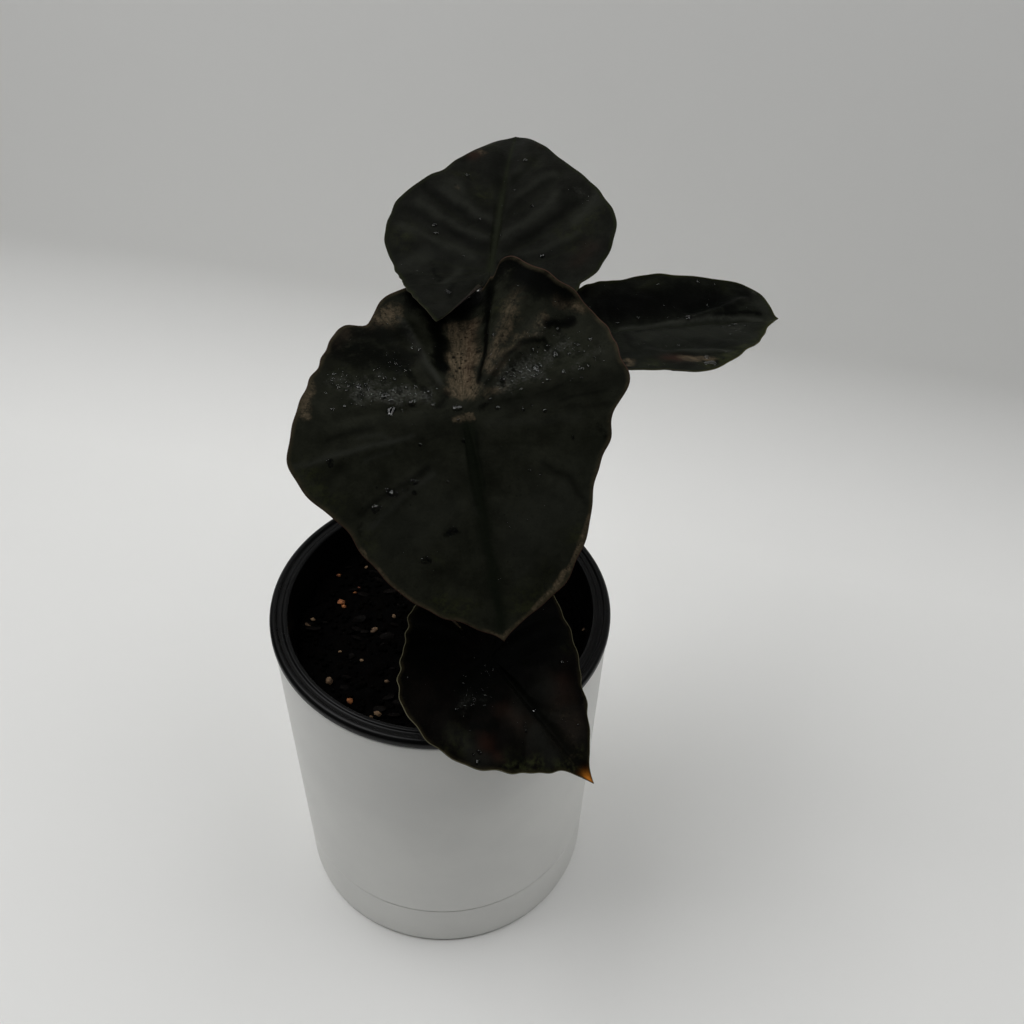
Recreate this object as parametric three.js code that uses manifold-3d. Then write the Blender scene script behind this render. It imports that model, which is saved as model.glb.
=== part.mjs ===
// A dark jewel alocasia in a black grower's pot, which stands in a white two-piece planter.
// Millimetres, +Z up. The pots share the axis X = Y = 0, and the saucer stands on Z = 0.
// Headings are degrees from +X towards +Y, seen from above.

import * as THREE from 'three';
import { mergeVertices } from 'three/addons/utils/BufferGeometryUtils.js';
import Module from 'manifold-3d';

const wasm = await Module();
wasm.setup();

// Driving dimensions
const GAP = 0.3; // between pieces that touch
const FACETS = 56; // round each pot

const SAUCER = { foot: 52, height: 21.6, wall: 2.2, floor: 2.4, edge: 0.8 };
const PLANTER = { top: 123.5, lip: 54.4, wall: 2.4, seam: 22.1, floor: 9, footRing: 2.4, edge: 0.8 };
const POT = { rim: 55, top: 127.3, rimHeight: 3.5, wall: 1.4, neck: 50.6, foot: 40, base: 28 };
const RIM = { bead: 2, ledge: 1, bevel: 0.6 };
const DRAIN = { radius: 4, ring: 26, count: 6 };
const SOIL = { top: 111.5, lump: 5.5, relief: 1.5, mound: 2, below: 0.6 };
const CROWN = { radius: 9, depth: 15, top: 121, shoulder: 10, crest: 8.2, scar: 0.7, sides: 24 };
const STALK = { foot: 2.3, head: 1.6, ring: 5.4, sunk: 4, straight: 8, seat: 0.65, sides: 8, steps: 14 };
const BLADE = { thickness: 0.8, sector: 7.5, foldPower: 1.4, wavePower: 4, grooveSpread: 4 };
const BLADE_RINGS = [0.045, 0.17, 0.32, 0.48, 0.64, 0.79, 0.91, 1];

// Leaf shapes. Angles on a blade start at the tip and grow clockwise, seen from above.
// reach lists [angle, mm] from the stalk's joint to the margin, joined by a smooth curve.
// tip is the [angle, mm, spread] of the drip tip that stands out of that curve.
// sinus is the [angle, mm, width, edge] of the notch between the back lobes: its depth from the joint,
// its full width and the width of each side, in degrees. groove is the depth of the sunk midrib.
// folds lists [angle, mm, spread] of ridges and valleys that deepen towards the margin.
// wave is the [mm, count, phase] of the ripple along the margin.
// frontSlope and backSlope are the fall towards the tip before and behind the joint, with a bend of
// half-width knee, and frontCurl bends the tip down further. bank leans the blade up to its right.
// rise folds the left and right halves up along the midrib, and curl bends them up further out.
const LEAVES = {
  front: {
    joint: [8.5, -14, 218],
    heading: -80,
    frontSlope: 47,
    backSlope: 22,
    knee: 7,
    frontCurl: 8,
    bank: -3,
    rise: [0, 0],
    curl: [5, 5],
    reach: [
      [0, 56], [18, 53], [36, 47.5], [54, 43.5], [78, 47.5], [98, 43], [118, 40.7], [140, 44], [147, 40],
      [157, 45.5], [166, 47.5], [176, 47.5], [186, 48], [191, 45], [195.5, 41.8], [201, 48.5],
      [210, 45.5], [220, 45], [232, 46], [246, 46], [256, 44.3], [268, 44.5], [277, 39.7], [288, 39.5],
      [304, 39], [322, 46], [340, 54],
    ],
    tip: [-3, 6.5, 5],
    sinus: [198.7, 37, 0.4, 1.4],
    folds: [
      [210, 7, 28], [164, -10, 30], [256, 1.5, 9], [238, -2, 8], [152, 2, 7], [180, -3, 8], [190, -10, 10],
    ],
    groove: 0.9,
    wave: [0.6, 7, 40],
    stalk: 250,
  },
  back: {
    joint: [13.7, 38, 229],
    heading: 83.5,
    frontSlope: -23,
    backSlope: 3,
    knee: 8,
    frontCurl: 30,
    bank: 1,
    rise: [0, 0],
    curl: [4, 4],
    reach: [
      [0, 57], [8, 54.5], [15, 50], [24, 46.3], [35, 44], [48, 41.7], [61, 39.6], [70, 36.7], [80, 33.1],
      [93, 29], [101, 27], [125, 28.5], [150, 31], [165, 31], [193, 37], [198, 35.5], [207, 32.7],
      [220, 29], [246, 26], [261, 27.3], [269, 28.9], [281, 32.5], [293, 34.8], [306, 38.4], [320, 39.4],
      [330, 39.8], [335, 42], [340, 45.7], [349, 52],
    ],
    tip: [-1, 9, 7],
    sinus: [183.5, 6.5, 15.5, 3],
    folds: [
      [152, -11, 28], [205, 5.5, 24], [30, 1.2, 12], [-30, 1.2, 12], [70, 1, 12], [-70, 1, 12],
    ],
    groove: 0.9,
    wave: [0.6, 8, 0],
    stalk: 100,
  },
  right: {
    joint: [51, 34, 212],
    heading: 11.5,
    frontSlope: 0,
    backSlope: 4,
    knee: 8,
    frontCurl: 6,
    bank: 15,
    rise: [15, 0],
    curl: [8, 0],
    reach: [
      [0, 48], [14, 43.5], [28, 41.5], [50, 40], [70, 39], [82, 35.5], [100, 32], [125, 28], [150, 30],
      [168, 30], [192, 29], [210, 27], [240, 24], [262, 23.5], [280, 25], [305, 32], [318, 34], [328, 42],
      [336, 49.5], [344, 52],
    ],
    tip: [-2, 3, 4],
    sinus: [180, 12, 8, 6],
    folds: [[35, 1, 12], [75, 1, 12], [-40, 1, 12]],
    groove: 0.7,
    wave: [0.6, 8, 90],
    stalk: 25,
  },
  low: {
    joint: [17, -40, 150],
    heading: -38,
    frontSlope: 28.5,
    backSlope: 16,
    knee: 8,
    frontCurl: 6,
    bank: 4.5,
    rise: [0, 0],
    curl: [4, 4],
    reach: [
      [0, 40], [14, 37], [30, 35], [60, 34.5], [84, 34.5], [100, 32.5], [120, 27.5], [140, 25], [165, 26],
      [195, 26], [225, 28], [255, 31], [268, 31], [282, 28.5], [300, 28.5], [322, 29.5], [338, 34], [350, 38],
    ],
    tip: [0, 7, 3.5],
    sinus: [180, 9, 8, 6],
    folds: [[35, 1, 12], [-35, 1, 12], [80, 1, 12], [-80, 1, 12]],
    groove: 0.8,
    wave: [0.5, 7, 150],
    stalk: -40,
  },
};

const FINISH = {
  white: new THREE.MeshStandardMaterial({ color: 0xe9e7e1, roughness: 0.45, metalness: 0 }),
  black: new THREE.MeshStandardMaterial({ color: 0x17181b, roughness: 0.4, metalness: 0 }),
  soil: new THREE.MeshStandardMaterial({ color: 0x1d1712, roughness: 0.95, metalness: 0 }),
  stalk: new THREE.MeshStandardMaterial({ color: 0x4a3326, roughness: 0.5, metalness: 0 }),
  leaf: new THREE.MeshStandardMaterial({ color: 0x1f211d, roughness: 0.35, metalness: 0 }),
};

const radians = THREE.MathUtils.degToRad;
const smooth = (t) => THREE.MathUtils.smoothstep(t, 0, 1);
const clamp = THREE.MathUtils.clamp;

// Helpers for closed solids

// Keeps only positions, with shared vertices and no empty triangles.
function weld(geometry) {
  geometry.deleteAttribute('normal');
  geometry.deleteAttribute('uv');
  const merged = mergeVertices(geometry, 1e-4);
  const corners = merged.index.array;
  const kept = [];
  for (let i = 0; i < corners.length; i += 3) {
    const [a, b, c] = corners.subarray(i, i + 3);
    if (a !== b && b !== c && c !== a) kept.push(a, b, c);
  }
  merged.setIndex(kept);
  return merged;
}

function toSolid(geometry) {
  const welded = weld(geometry);
  const vertProperties = new Float32Array(welded.attributes.position.array);
  const triVerts = new Uint32Array(welded.index.array);
  return new wasm.Manifold(new wasm.Mesh({ numProp: 3, vertProperties, triVerts }));
}

function toGeometry(solid) {
  const mesh = solid.getMesh();
  const geometry = new THREE.BufferGeometry();
  geometry.setAttribute('position', new THREE.BufferAttribute(mesh.vertProperties, 3));
  geometry.setIndex(new THREE.BufferAttribute(mesh.triVerts, 1));
  return geometry;
}

function cut(geometry, tools) {
  const whole = toSolid(geometry);
  return toGeometry(tools.reduce((left, tool) => left.subtract(toSolid(tool)), whole));
}

// Turns a profile of [radius, height] points, from the axis below round to the axis above.
function turn(profile, facets = FACETS) {
  const outline = profile.map(([radius, height]) => new THREE.Vector2(radius, height));
  return weld(new THREE.LatheGeometry(outline, facets).rotateX(Math.PI / 2));
}

// Skins a row of rings with the same number of points and closes both ends on their middles.
// With folded set, the second half of the rings lies over the first, and its triangles match.
function loft(rings, folded = false) {
  const sides = rings[0].length;
  const points = rings.flat();
  const middle = (ring) => ring.reduce((sum, p) => sum.add(p), new THREE.Vector3()).divideScalar(sides);
  const first = points.push(middle(rings[0])) - 1;
  const last = points.push(middle(rings.at(-1))) - 1;
  const top = (rings.length - 1) * sides;
  const faces = [];
  for (let j = 0; j < sides; j += 1) {
    const next = (j + 1) % sides;
    faces.push(first, next, j, last, top + j, top + next);
    for (let i = 0; i < rings.length - 1; i += 1) {
      const [a, b, c, d] = [i * sides + j, i * sides + next, (i + 1) * sides + next, (i + 1) * sides + j];
      if (folded && i >= rings.length / 2) faces.push(a, b, d, b, c, d);
      else faces.push(a, b, c, a, c, d);
    }
  }
  const geometry = new THREE.BufferGeometry().setFromPoints(points);
  geometry.setIndex(faces);
  return geometry;
}

function circle(radius, height, sides) {
  return Array.from({ length: sides }, (_, j) => {
    const turnBy = (2 * Math.PI * j) / sides;
    return new THREE.Vector3(radius * Math.cos(turnBy), radius * Math.sin(turnBy), height);
  });
}

function piece(name, geometry, material) {
  geometry.computeVertexNormals();
  const mesh = new THREE.Mesh(geometry, material);
  mesh.name = name;
  return mesh;
}

// Saucer and planter

const shellAt = (height) => SAUCER.foot + ((PLANTER.lip - SAUCER.foot) * height) / PLANTER.top;

function saucer() {
  const { foot, height, wall, floor, edge } = SAUCER;
  return turn([
    [0, 0], [foot - edge, 0], [foot, edge], [shellAt(height), height], [shellAt(height) - wall, height],
    [foot - wall, floor], [0, floor],
  ]);
}

function drainHoles(floor, thickness) {
  return Array.from({ length: DRAIN.count }, (_, i) => {
    const heading = (2 * Math.PI * i) / DRAIN.count;
    const drill = new THREE.CylinderGeometry(DRAIN.radius, DRAIN.radius, thickness * 3, 12);
    drill.rotateX(Math.PI / 2);
    return drill.translate(DRAIN.ring * Math.cos(heading), DRAIN.ring * Math.sin(heading), floor);
  });
}

function planter() {
  const { top, lip, wall, seam, floor, footRing, edge } = PLANTER;
  const neck = SAUCER.foot - SAUCER.wall - 2 * GAP;
  const foot = SAUCER.floor + GAP;
  const shell = turn([
    [0, floor - wall], [neck - footRing, floor - wall], [neck - footRing, foot], [neck, foot],
    [neck, seam], [shellAt(seam), seam], [lip, top - edge], [lip - edge, top], [lip - wall, top],
    [shellAt(seam) - wall, seam + 2 * wall], [neck - wall, seam - wall], [neck - wall, floor], [0, floor],
  ]);
  return cut(shell, drainHoles(floor, wall));
}

// Nursery pot

const potWallAt = (height) => {
  const rise = (height - POT.base) / (POT.top - POT.rimHeight - POT.base);
  return POT.foot + (POT.neck - POT.foot) * rise;
};

function nurseryPot() {
  const { rim, top, rimHeight, wall, neck, foot, base } = POT;
  const { bead, ledge, bevel } = RIM;
  const under = top - rimHeight;
  const shell = turn([
    [0, base], [foot, base], [neck, under], [rim - bevel, under], [rim, under + bevel],
    [rim, top - bevel], [rim - bevel, top], [rim - bead, top], [rim - bead - bevel, top - ledge],
    [neck + bevel, top - ledge], [neck, top - bevel / 2], [neck - wall, top - bevel],
    [foot - wall, base + wall], [0, base + wall],
  ]);
  return cut(shell, drainHoles(base, wall));
}

// Soil

// Smooth random heights between 0 and 1 on a grid of one unit.
function noise(x, y) {
  const [i, j] = [Math.floor(x), Math.floor(y)];
  const corner = (a, b) => {
    const scatter = Math.sin(a * 127.1 + b * 311.7) * 43758.5453;
    return scatter - Math.floor(scatter);
  };
  const [u, v] = [smooth(x - i), smooth(y - j)];
  const near = THREE.MathUtils.lerp(corner(i, j), corner(i + 1, j), u);
  const far = THREE.MathUtils.lerp(corner(i, j + 1), corner(i + 1, j + 1), u);
  return THREE.MathUtils.lerp(near, far, v);
}

function soilHeight(x, y) {
  const lumps = noise(x / SOIL.lump, y / SOIL.lump) + 0.5 * noise(x / 3 + 40, y / 3);
  const mound = SOIL.mound * Math.exp(-((x * x + y * y) / 500));
  return SOIL.top + mound + SOIL.relief * (2 * lumps - 1.5);
}

function soil() {
  const sides = 48;
  const hole = CROWN.radius + GAP;
  const base = POT.base + POT.wall + GAP;
  const floor = SOIL.top - CROWN.depth - GAP;
  const inside = (height) => potWallAt(height) - POT.wall - SOIL.below;
  const edge = inside(SOIL.top - 2);
  const surface = (radius) => {
    const ring = circle(radius, 0, sides);
    ring.forEach((point) => point.setZ(soilHeight(point.x, point.y)));
    return ring;
  };
  const spread = [1, 0.93, 0.85, 0.77, 0.69, 0.61, 0.53, 0.45, 0.37, 0.3, 0.25].map((part) => part * edge);
  return loft([
    circle(inside(base) / 2, base, sides),
    circle(inside(base), base, sides),
    circle(edge, SOIL.top - 2, sides),
    ...spread.map(surface),
    surface(hole),
    circle(hole, floor, sides),
    circle(hole / 2, floor, sides),
  ]);
}

// Leaf blades

const turnBetween = (a, b) => THREE.MathUtils.euclideanModulo(a - b + 180, 360) - 180;

// A smooth closed curve through [angle, value] knots, at any angle.
function throughKnots(knots, angle) {
  const count = knots.length;
  const at = THREE.MathUtils.euclideanModulo(angle - knots[0][0], 360) + knots[0][0];
  const knot = (i) => {
    const [where, value] = knots[THREE.MathUtils.euclideanModulo(i, count)];
    return [where + 360 * Math.floor(i / count), value];
  };
  let i = 0;
  while (knot(i + 1)[0] <= at) i += 1;
  const [before, from, to, after] = [knot(i - 1), knot(i), knot(i + 1), knot(i + 2)];
  const width = to[0] - from[0];
  const t = (at - from[0]) / width;
  const leave = ((to[1] - before[1]) / (to[0] - before[0])) * width;
  const arrive = ((after[1] - from[1]) / (after[0] - from[0])) * width;
  const [t2, t3] = [t * t, t * t * t];
  return (2 * t3 - 3 * t2 + 1) * from[1] + (t3 - 2 * t2 + t) * leave
    + (3 * t2 - 2 * t3) * to[1] + (t3 - t2) * arrive;
}

function reachAt(leaf, angle) {
  const [tip, longer, spread] = leaf.tip;
  const [sinus, depth, width, edge] = leaf.sinus;
  const drip = longer * Math.exp(-Math.abs(turnBetween(angle, tip)) / spread);
  const notch = 1 - smooth((Math.abs(turnBetween(angle, sinus)) - width / 2) / edge);
  return THREE.MathUtils.lerp(throughKnots(leaf.reach, angle) + drip, depth, notch);
}

// Follows a bending line from 0 and gives how far it runs and how far it falls after each length.
function bentLine(angleAt) {
  const half = 90;
  const step = 0.5;
  const run = [0];
  const fall = [0];
  for (let s = -half; s < half; s += step) {
    const angle = radians(angleAt(s + step / 2));
    run.push(run.at(-1) + step * Math.cos(angle));
    fall.push(fall.at(-1) + step * Math.sin(angle));
  }
  const read = (list, s) => {
    const place = (s + half) / step;
    const i = Math.floor(place);
    const zero = list[half / step];
    return THREE.MathUtils.lerp(list[i], list[i + 1], place - i) - zero;
  };
  return (s) => [read(run, s), read(fall, s)];
}

function slopeAt(leaf, s) {
  const bend = smooth((s + leaf.knee) / (2 * leaf.knee));
  const curl = leaf.frontCurl * clamp(s / 60, 0, 2) ** 1.5;
  return leaf.backSlope + (leaf.frontSlope - leaf.backSlope) * bend + curl;
}

function bankAt(leaf, s) {
  const side = s < 0 ? 0 : 1;
  const out = Math.abs(s);
  const lift = leaf.rise[side] * smooth(out / 4) + leaf.curl[side] * clamp(out / 40, 0, 2);
  return s < 0 ? -lift : lift;
}

function foldAt(leaf, angle, part) {
  const height = ([at, mm, spread]) => mm * Math.exp(-((turnBetween(angle, at) / spread) ** 2));
  const folds = leaf.folds.reduce((sum, fold) => sum + height(fold), 0) * part ** BLADE.foldPower;
  const groove = height([leaf.tip[0], -leaf.groove, BLADE.grooveSpread]) * smooth(part * 4);
  const [swing, count, phase] = leaf.wave;
  return folds + groove + swing * Math.sin(radians(count * angle + phase)) * part ** BLADE.wavePower;
}

// The blade's upper face as a function of the angle and of the part of the way to the margin.
function bladeSurface(leaf) {
  const along = bentLine((s) => slopeAt(leaf, s));
  const across = bentLine((s) => bankAt(leaf, s));
  const heading = radians(leaf.heading);
  const forward = new THREE.Vector3(Math.cos(heading), Math.sin(heading), 0);
  const level = new THREE.Vector3(Math.sin(heading), -Math.cos(heading), 0);
  const right = level.clone().applyAxisAngle(forward, -radians(leaf.bank));
  const up = new THREE.Vector3().crossVectors(right, forward);
  return (angle, part) => {
    const reach = reachAt(leaf, angle) * part;
    const y = reach * Math.cos(radians(angle));
    const [run, fall] = along(y);
    const [side, lift] = across(reach * Math.sin(radians(angle)));
    const slope = radians(slopeAt(leaf, y));
    const height = lift + foldAt(leaf, angle, part);
    return new THREE.Vector3(...leaf.joint)
      .addScaledVector(forward, run + height * Math.sin(slope))
      .addScaledVector(up, height * Math.cos(slope) - fall)
      .addScaledVector(right, side);
  };
}

// Sector angles, closer together at the tip and at the sinus.
function bladeAngles(leaf) {
  const [tip] = leaf.tip;
  const [sinus, , width, edge] = leaf.sinus;
  const sides = [0, edge / 3, (2 * edge) / 3, edge, edge + 4].map((step) => width / 2 + step);
  const atTip = [-5, -2, 0, 2, 5].map((step) => tip + step);
  const atSinus = [0, ...sides, ...sides.map((side) => -side)].map((step) => sinus + step);
  const close = [...atTip, ...atSinus];
  const angles = [...close];
  for (let angle = 0; angle < 360; angle += BLADE.sector) {
    const alone = close.every((other) => Math.abs(turnBetween(angle, other)) > BLADE.sector / 3);
    if (alone) angles.push(angle);
  }
  return angles.map((angle) => THREE.MathUtils.euclideanModulo(angle, 360)).sort((a, b) => b - a);
}

function normalAt(surface, angle, part) {
  const step = 0.02;
  const here = surface(angle, part);
  const around = surface(angle + 1, part).sub(surface(angle - 1, part));
  const outward = surface(angle, part + step).sub(here);
  return outward.cross(around).normalize().negate();
}

function blade(leaf) {
  const surface = bladeSurface(leaf);
  const angles = bladeAngles(leaf);
  const upper = BLADE_RINGS.map((part) => angles.map((angle) => surface(angle, part)));
  const lower = BLADE_RINGS.map((part, i) => angles.map((angle, j) => {
    const down = normalAt(surface, angle, part).multiplyScalar(-BLADE.thickness);
    return upper[i][j].clone().add(down);
  }));
  return loft([...lower, ...upper.reverse()], true);
}

// Leaf stalks and crown

function stalkFoot(leaf) {
  const heading = radians(leaf.stalk);
  const out = STALK.ring;
  return new THREE.Vector3(out * Math.cos(heading), out * Math.sin(heading), CROWN.top - STALK.sunk);
}

// Straight out of the crown, then in one bow to the underside of the blade, square to it.
function stalkPath(leaf) {
  const foot = stalkFoot(leaf);
  const surface = bladeSurface(leaf);
  const normal = normalAt(surface, 90, 0.04).add(normalAt(surface, 270, 0.04)).normalize();
  const head = new THREE.Vector3(...leaf.joint).addScaledVector(normal, -BLADE.thickness - STALK.seat);
  const climb = head.clone().sub(foot);
  const start = new THREE.Vector3(climb.x * 0.3, climb.y * 0.3, climb.z).normalize();
  const knee = foot.clone().addScaledVector(start, STALK.straight);
  const reach = climb.length() / 3;
  const path = new THREE.CurvePath();
  path.add(new THREE.LineCurve3(foot, knee));
  path.add(new THREE.CubicBezierCurve3(
    knee,
    knee.clone().addScaledVector(start, reach),
    head.clone().addScaledVector(normal, -reach / 2),
    head,
  ));
  return path;
}

function stalk(leaf) {
  const path = stalkPath(leaf);
  const frames = path.computeFrenetFrames(STALK.steps);
  const rings = frames.tangents.map((_, i) => {
    const part = i / STALK.steps;
    const radius = THREE.MathUtils.lerp(STALK.foot, STALK.head, smooth(part * 1.2));
    const centre = path.getPointAt(part);
    return circle(radius, 0, STALK.sides).map((spot) => centre.clone()
      .addScaledVector(frames.normals[i], spot.x)
      .addScaledVector(frames.binormals[i], spot.y));
  });
  return loft(rings);
}

function socket(leaf) {
  const path = stalkPath(leaf);
  const start = path.getTangentAt(0);
  const length = 2 * STALK.straight;
  const radius = STALK.foot + GAP;
  const hole = new THREE.CylinderGeometry(radius, radius, length, 16);
  hole.rotateX(Math.PI / 2);
  hole.applyQuaternion(new THREE.Quaternion().setFromUnitVectors(new THREE.Vector3(0, 0, 1), start));
  const middle = stalkFoot(leaf).addScaledVector(start, length / 2 - GAP);
  return hole.translate(middle.x, middle.y, middle.z);
}

function crown() {
  const { radius, depth, top, shoulder, crest, scar, sides } = CROWN;
  const ground = SOIL.top + SOIL.mound + SOIL.relief;
  const rise = (part) => ground + (top - ground) * part;
  const body = loft([
    circle(radius - 1, SOIL.top - depth, sides),
    circle(radius, SOIL.top - depth + 2, sides),
    circle(radius, ground, sides),
    circle(shoulder - scar, rise(0.2), sides),
    circle(shoulder, rise(0.3), sides),
    circle(shoulder - scar, rise(0.5), sides),
    circle(shoulder - 0.4, rise(0.6), sides),
    circle(crest, rise(0.95), sides),
    circle(crest - 0.6, top, sides),
  ]);
  return cut(body, Object.values(LEAVES).map(socket));
}

const plant = new THREE.Group();
plant.add(piece('crown', crown(), FINISH.stalk));
for (const [place, leaf] of Object.entries(LEAVES)) {
  plant.add(piece(`petiole_${place}`, stalk(leaf), FINISH.stalk));
  plant.add(piece(`leaf_${place}`, blade(leaf), FINISH.leaf));
}

const potted = new THREE.Group();
potted.add(piece('saucer', saucer(), FINISH.white));
potted.add(piece('planter', planter(), FINISH.white));
potted.add(piece('nursery_pot', nurseryPot(), FINISH.black));
potted.add(piece('soil', soil(), FINISH.soil));
potted.add(plant);

export default potted;
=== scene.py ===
# %% [markdown]
# # A dark alocasia in a white planter
# The plant is a small jewel alocasia with four shield-shaped leaves, so dark that they read as black.
# It grows in a thin black pot, which hangs by its rim in a two-piece white planter.
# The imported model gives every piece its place. This lesson gives each one its fine shape and its finish.
# %% Load the frame
import math
import bpy
import numpy as np
from mathutils import Matrix, Vector


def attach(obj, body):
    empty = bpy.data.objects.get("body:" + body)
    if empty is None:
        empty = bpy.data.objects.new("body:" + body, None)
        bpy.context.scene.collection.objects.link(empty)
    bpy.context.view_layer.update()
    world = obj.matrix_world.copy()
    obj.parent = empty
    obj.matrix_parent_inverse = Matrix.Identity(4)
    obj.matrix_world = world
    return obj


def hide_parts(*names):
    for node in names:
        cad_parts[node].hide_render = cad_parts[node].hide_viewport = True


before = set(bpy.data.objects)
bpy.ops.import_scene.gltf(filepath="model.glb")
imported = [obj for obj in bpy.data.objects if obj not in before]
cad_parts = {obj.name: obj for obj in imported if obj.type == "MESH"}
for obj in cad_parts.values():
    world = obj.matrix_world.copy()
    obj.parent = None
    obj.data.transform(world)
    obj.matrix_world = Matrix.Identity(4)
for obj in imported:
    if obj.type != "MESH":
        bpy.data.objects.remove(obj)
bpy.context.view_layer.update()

MM = 0.001
scene = bpy.context.scene

# %% [markdown]
# ## The camera
# The photograph was taken from above, a little to the right of the pot.
# The camera's place, its fall below the horizon and its small roll were worked out from the ellipses that the
# round pots make. Writing the three axes of the camera into a matrix keeps the roll without any constraint.
# %% Camera
CAMERA_AT = Vector((0.0221, -0.2589, 0.4182))
CAMERA_FALL = math.radians(43.95)
CAMERA_ROLL = math.radians(1.72)
LENS = 42.19
SENSOR = 36.0


def camera_axes():
    """The camera's right, up and backward directions."""
    ahead = Vector((0, math.cos(CAMERA_FALL), -math.sin(CAMERA_FALL)))
    level = Vector((1, 0, 0))
    above = level.cross(ahead)
    right = math.cos(CAMERA_ROLL) * level + math.sin(CAMERA_ROLL) * above
    up = math.cos(CAMERA_ROLL) * above - math.sin(CAMERA_ROLL) * level
    return right, up, -ahead


camera = bpy.data.objects.new("camera", bpy.data.cameras.new("camera"))
camera.matrix_world = Matrix.Translation(CAMERA_AT) @ Matrix(camera_axes()).transposed().to_4x4()
camera.data.lens = LENS
camera.data.sensor_width = SENSOR
camera.data.clip_start = 0.01
scene.collection.objects.link(camera)
scene.camera = camera
print("camera looks down by", round(math.degrees(CAMERA_FALL), 1), "degrees")

# %% [markdown]
# ## Building materials with nodes
# Every finish below is a small tree of nodes. Writing the same three lines for each node soon hides the
# idea, so a few short helpers make one node each: a noise, a sum, a blend of two colours, a bump.
# Each helper returns the socket that the next node reads, so a finish reads like a sentence.
# %% Node helpers
def feed(tree, target, value):
    """Links a socket into an input, or sets the input's own value."""
    if isinstance(value, bpy.types.NodeSocket):
        tree.links.new(value, target)
    else:
        target.default_value = value


def add_node(tree, kind, **sockets):
    """One node, with its named inputs set to a value or linked to a socket."""
    node = tree.nodes.new(kind)
    for name, value in sockets.items():
        feed(tree, node.inputs[name.replace("_", " ")], value)
    return node


def calc(tree, operation, first, second=0.0, third=0.0):
    """A sum on numbers, such as MULTIPLY or ADD."""
    node = tree.nodes.new("ShaderNodeMath")
    node.operation = operation
    for target, value in zip(node.inputs, (first, second, third)):
        feed(tree, target, value)
    return node.outputs[0]


def fade(tree, value, low, high, to_low=0.0, to_high=1.0):
    """Moves a value from one range to another with soft ends."""
    node = tree.nodes.new("ShaderNodeMapRange")
    node.interpolation_type = "SMOOTHSTEP"
    for target, given in zip(node.inputs, (value, low, high, to_low, to_high)):
        feed(tree, target, given)
    return node.outputs[0]


def tint(tree, share, first, second):
    """Two colours mixed by a share from 0 to 1."""
    node = tree.nodes.new("ShaderNodeMix")
    node.data_type = "RGBA"
    feed(tree, node.inputs[0], share)
    for target, value in ((node.inputs[6], first), (node.inputs[7], second)):
        feed(tree, target, value if isinstance(value, bpy.types.NodeSocket) else (*value, 1.0))
    return node.outputs[2]


# %% [markdown]
# Two patterns do nearly all the work: cloudy noise, and cells, which are the distance to scattered points.
# Bump turns a pattern into a relief that only the light sees, and a stored value ties a finish to the mesh.
# %% Pattern helpers
def noise(tree, where, scale, detail=3.0, roughness=0.5):
    """Cloudy grey noise from 0 to 1."""
    node = add_node(tree, "ShaderNodeTexNoise", Vector=where, Scale=scale, Detail=detail,
                    Roughness=roughness)
    return node.outputs["Fac"]


def cells(tree, where, scale, feature="F1"):
    """The distance to scattered points, for spots and crumbs."""
    node = add_node(tree, "ShaderNodeTexVoronoi", Vector=where, Scale=scale)
    node.feature = feature
    return node.outputs["Distance"]


def bump(tree, height, strength, distance):
    """A fine relief that only the light sees."""
    node = add_node(tree, "ShaderNodeBump", Height=height, Strength=strength, Distance=distance)
    return node.outputs["Normal"]


def read(tree, name):
    """A value that was stored on the mesh."""
    node = tree.nodes.new("ShaderNodeAttribute")
    node.attribute_name = name
    return node.outputs["Fac"]


def place(tree):
    """The point on the object, in metres."""
    return tree.nodes.new("ShaderNodeTexCoord").outputs["Object"]


def new_finish(name):
    """A material with one Principled shader, and its node tree."""
    material = bpy.data.materials.new(name)
    material.use_nodes = True
    tree = material.node_tree
    shader = tree.nodes["Principled BSDF"]
    return material, tree, shader


def finish(shader, **values):
    """Sets or links the shader's inputs by name."""
    for name, value in values.items():
        feed(shader.id_data, shader.inputs[name.replace("_", " ")], value)


# %% [markdown]
# ## Making meshes from rings
# Nearly everything here is a stack of rings: a pot, a stalk, the soil, and even a leaf blade, whose lower
# face runs out from the joint to the margin and whose upper face runs back. One helper skins such a stack
# into a closed mesh. It takes numpy arrays of points, which is much faster than one vertex at a time.
# %% Skin a stack of rings
def ring_mesh(rings, folded=False):
    """Points and triangles through rings of equal length, with both ends closed on their middles.

    folded says that the second half lies over the first, so that its faces split the same way."""
    rings = np.asarray(rings, float)
    layers, sides, _ = rings.shape
    ends = [rings[0].mean(axis=0), rings[-1].mean(axis=0)]
    here = np.arange(sides)
    there = (here + 1) % sides
    first, last, top = layers * sides, layers * sides + 1, (layers - 1) * sides
    faces = [np.stack([np.full(sides, first), there, here], 1),
             np.stack([np.full(sides, last), top + here, top + there], 1)]
    for i in range(layers - 1):
        a, b = i * sides + here, i * sides + there
        c, d = b + sides, a + sides
        if folded and i >= layers / 2:
            faces += [np.stack([a, b, d], 1), np.stack([b, c, d], 1)]
        else:
            faces += [np.stack([a, b, c], 1), np.stack([a, c, d], 1)]
    return np.concatenate([rings.reshape(-1, 3), ends]), np.concatenate(faces)


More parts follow.
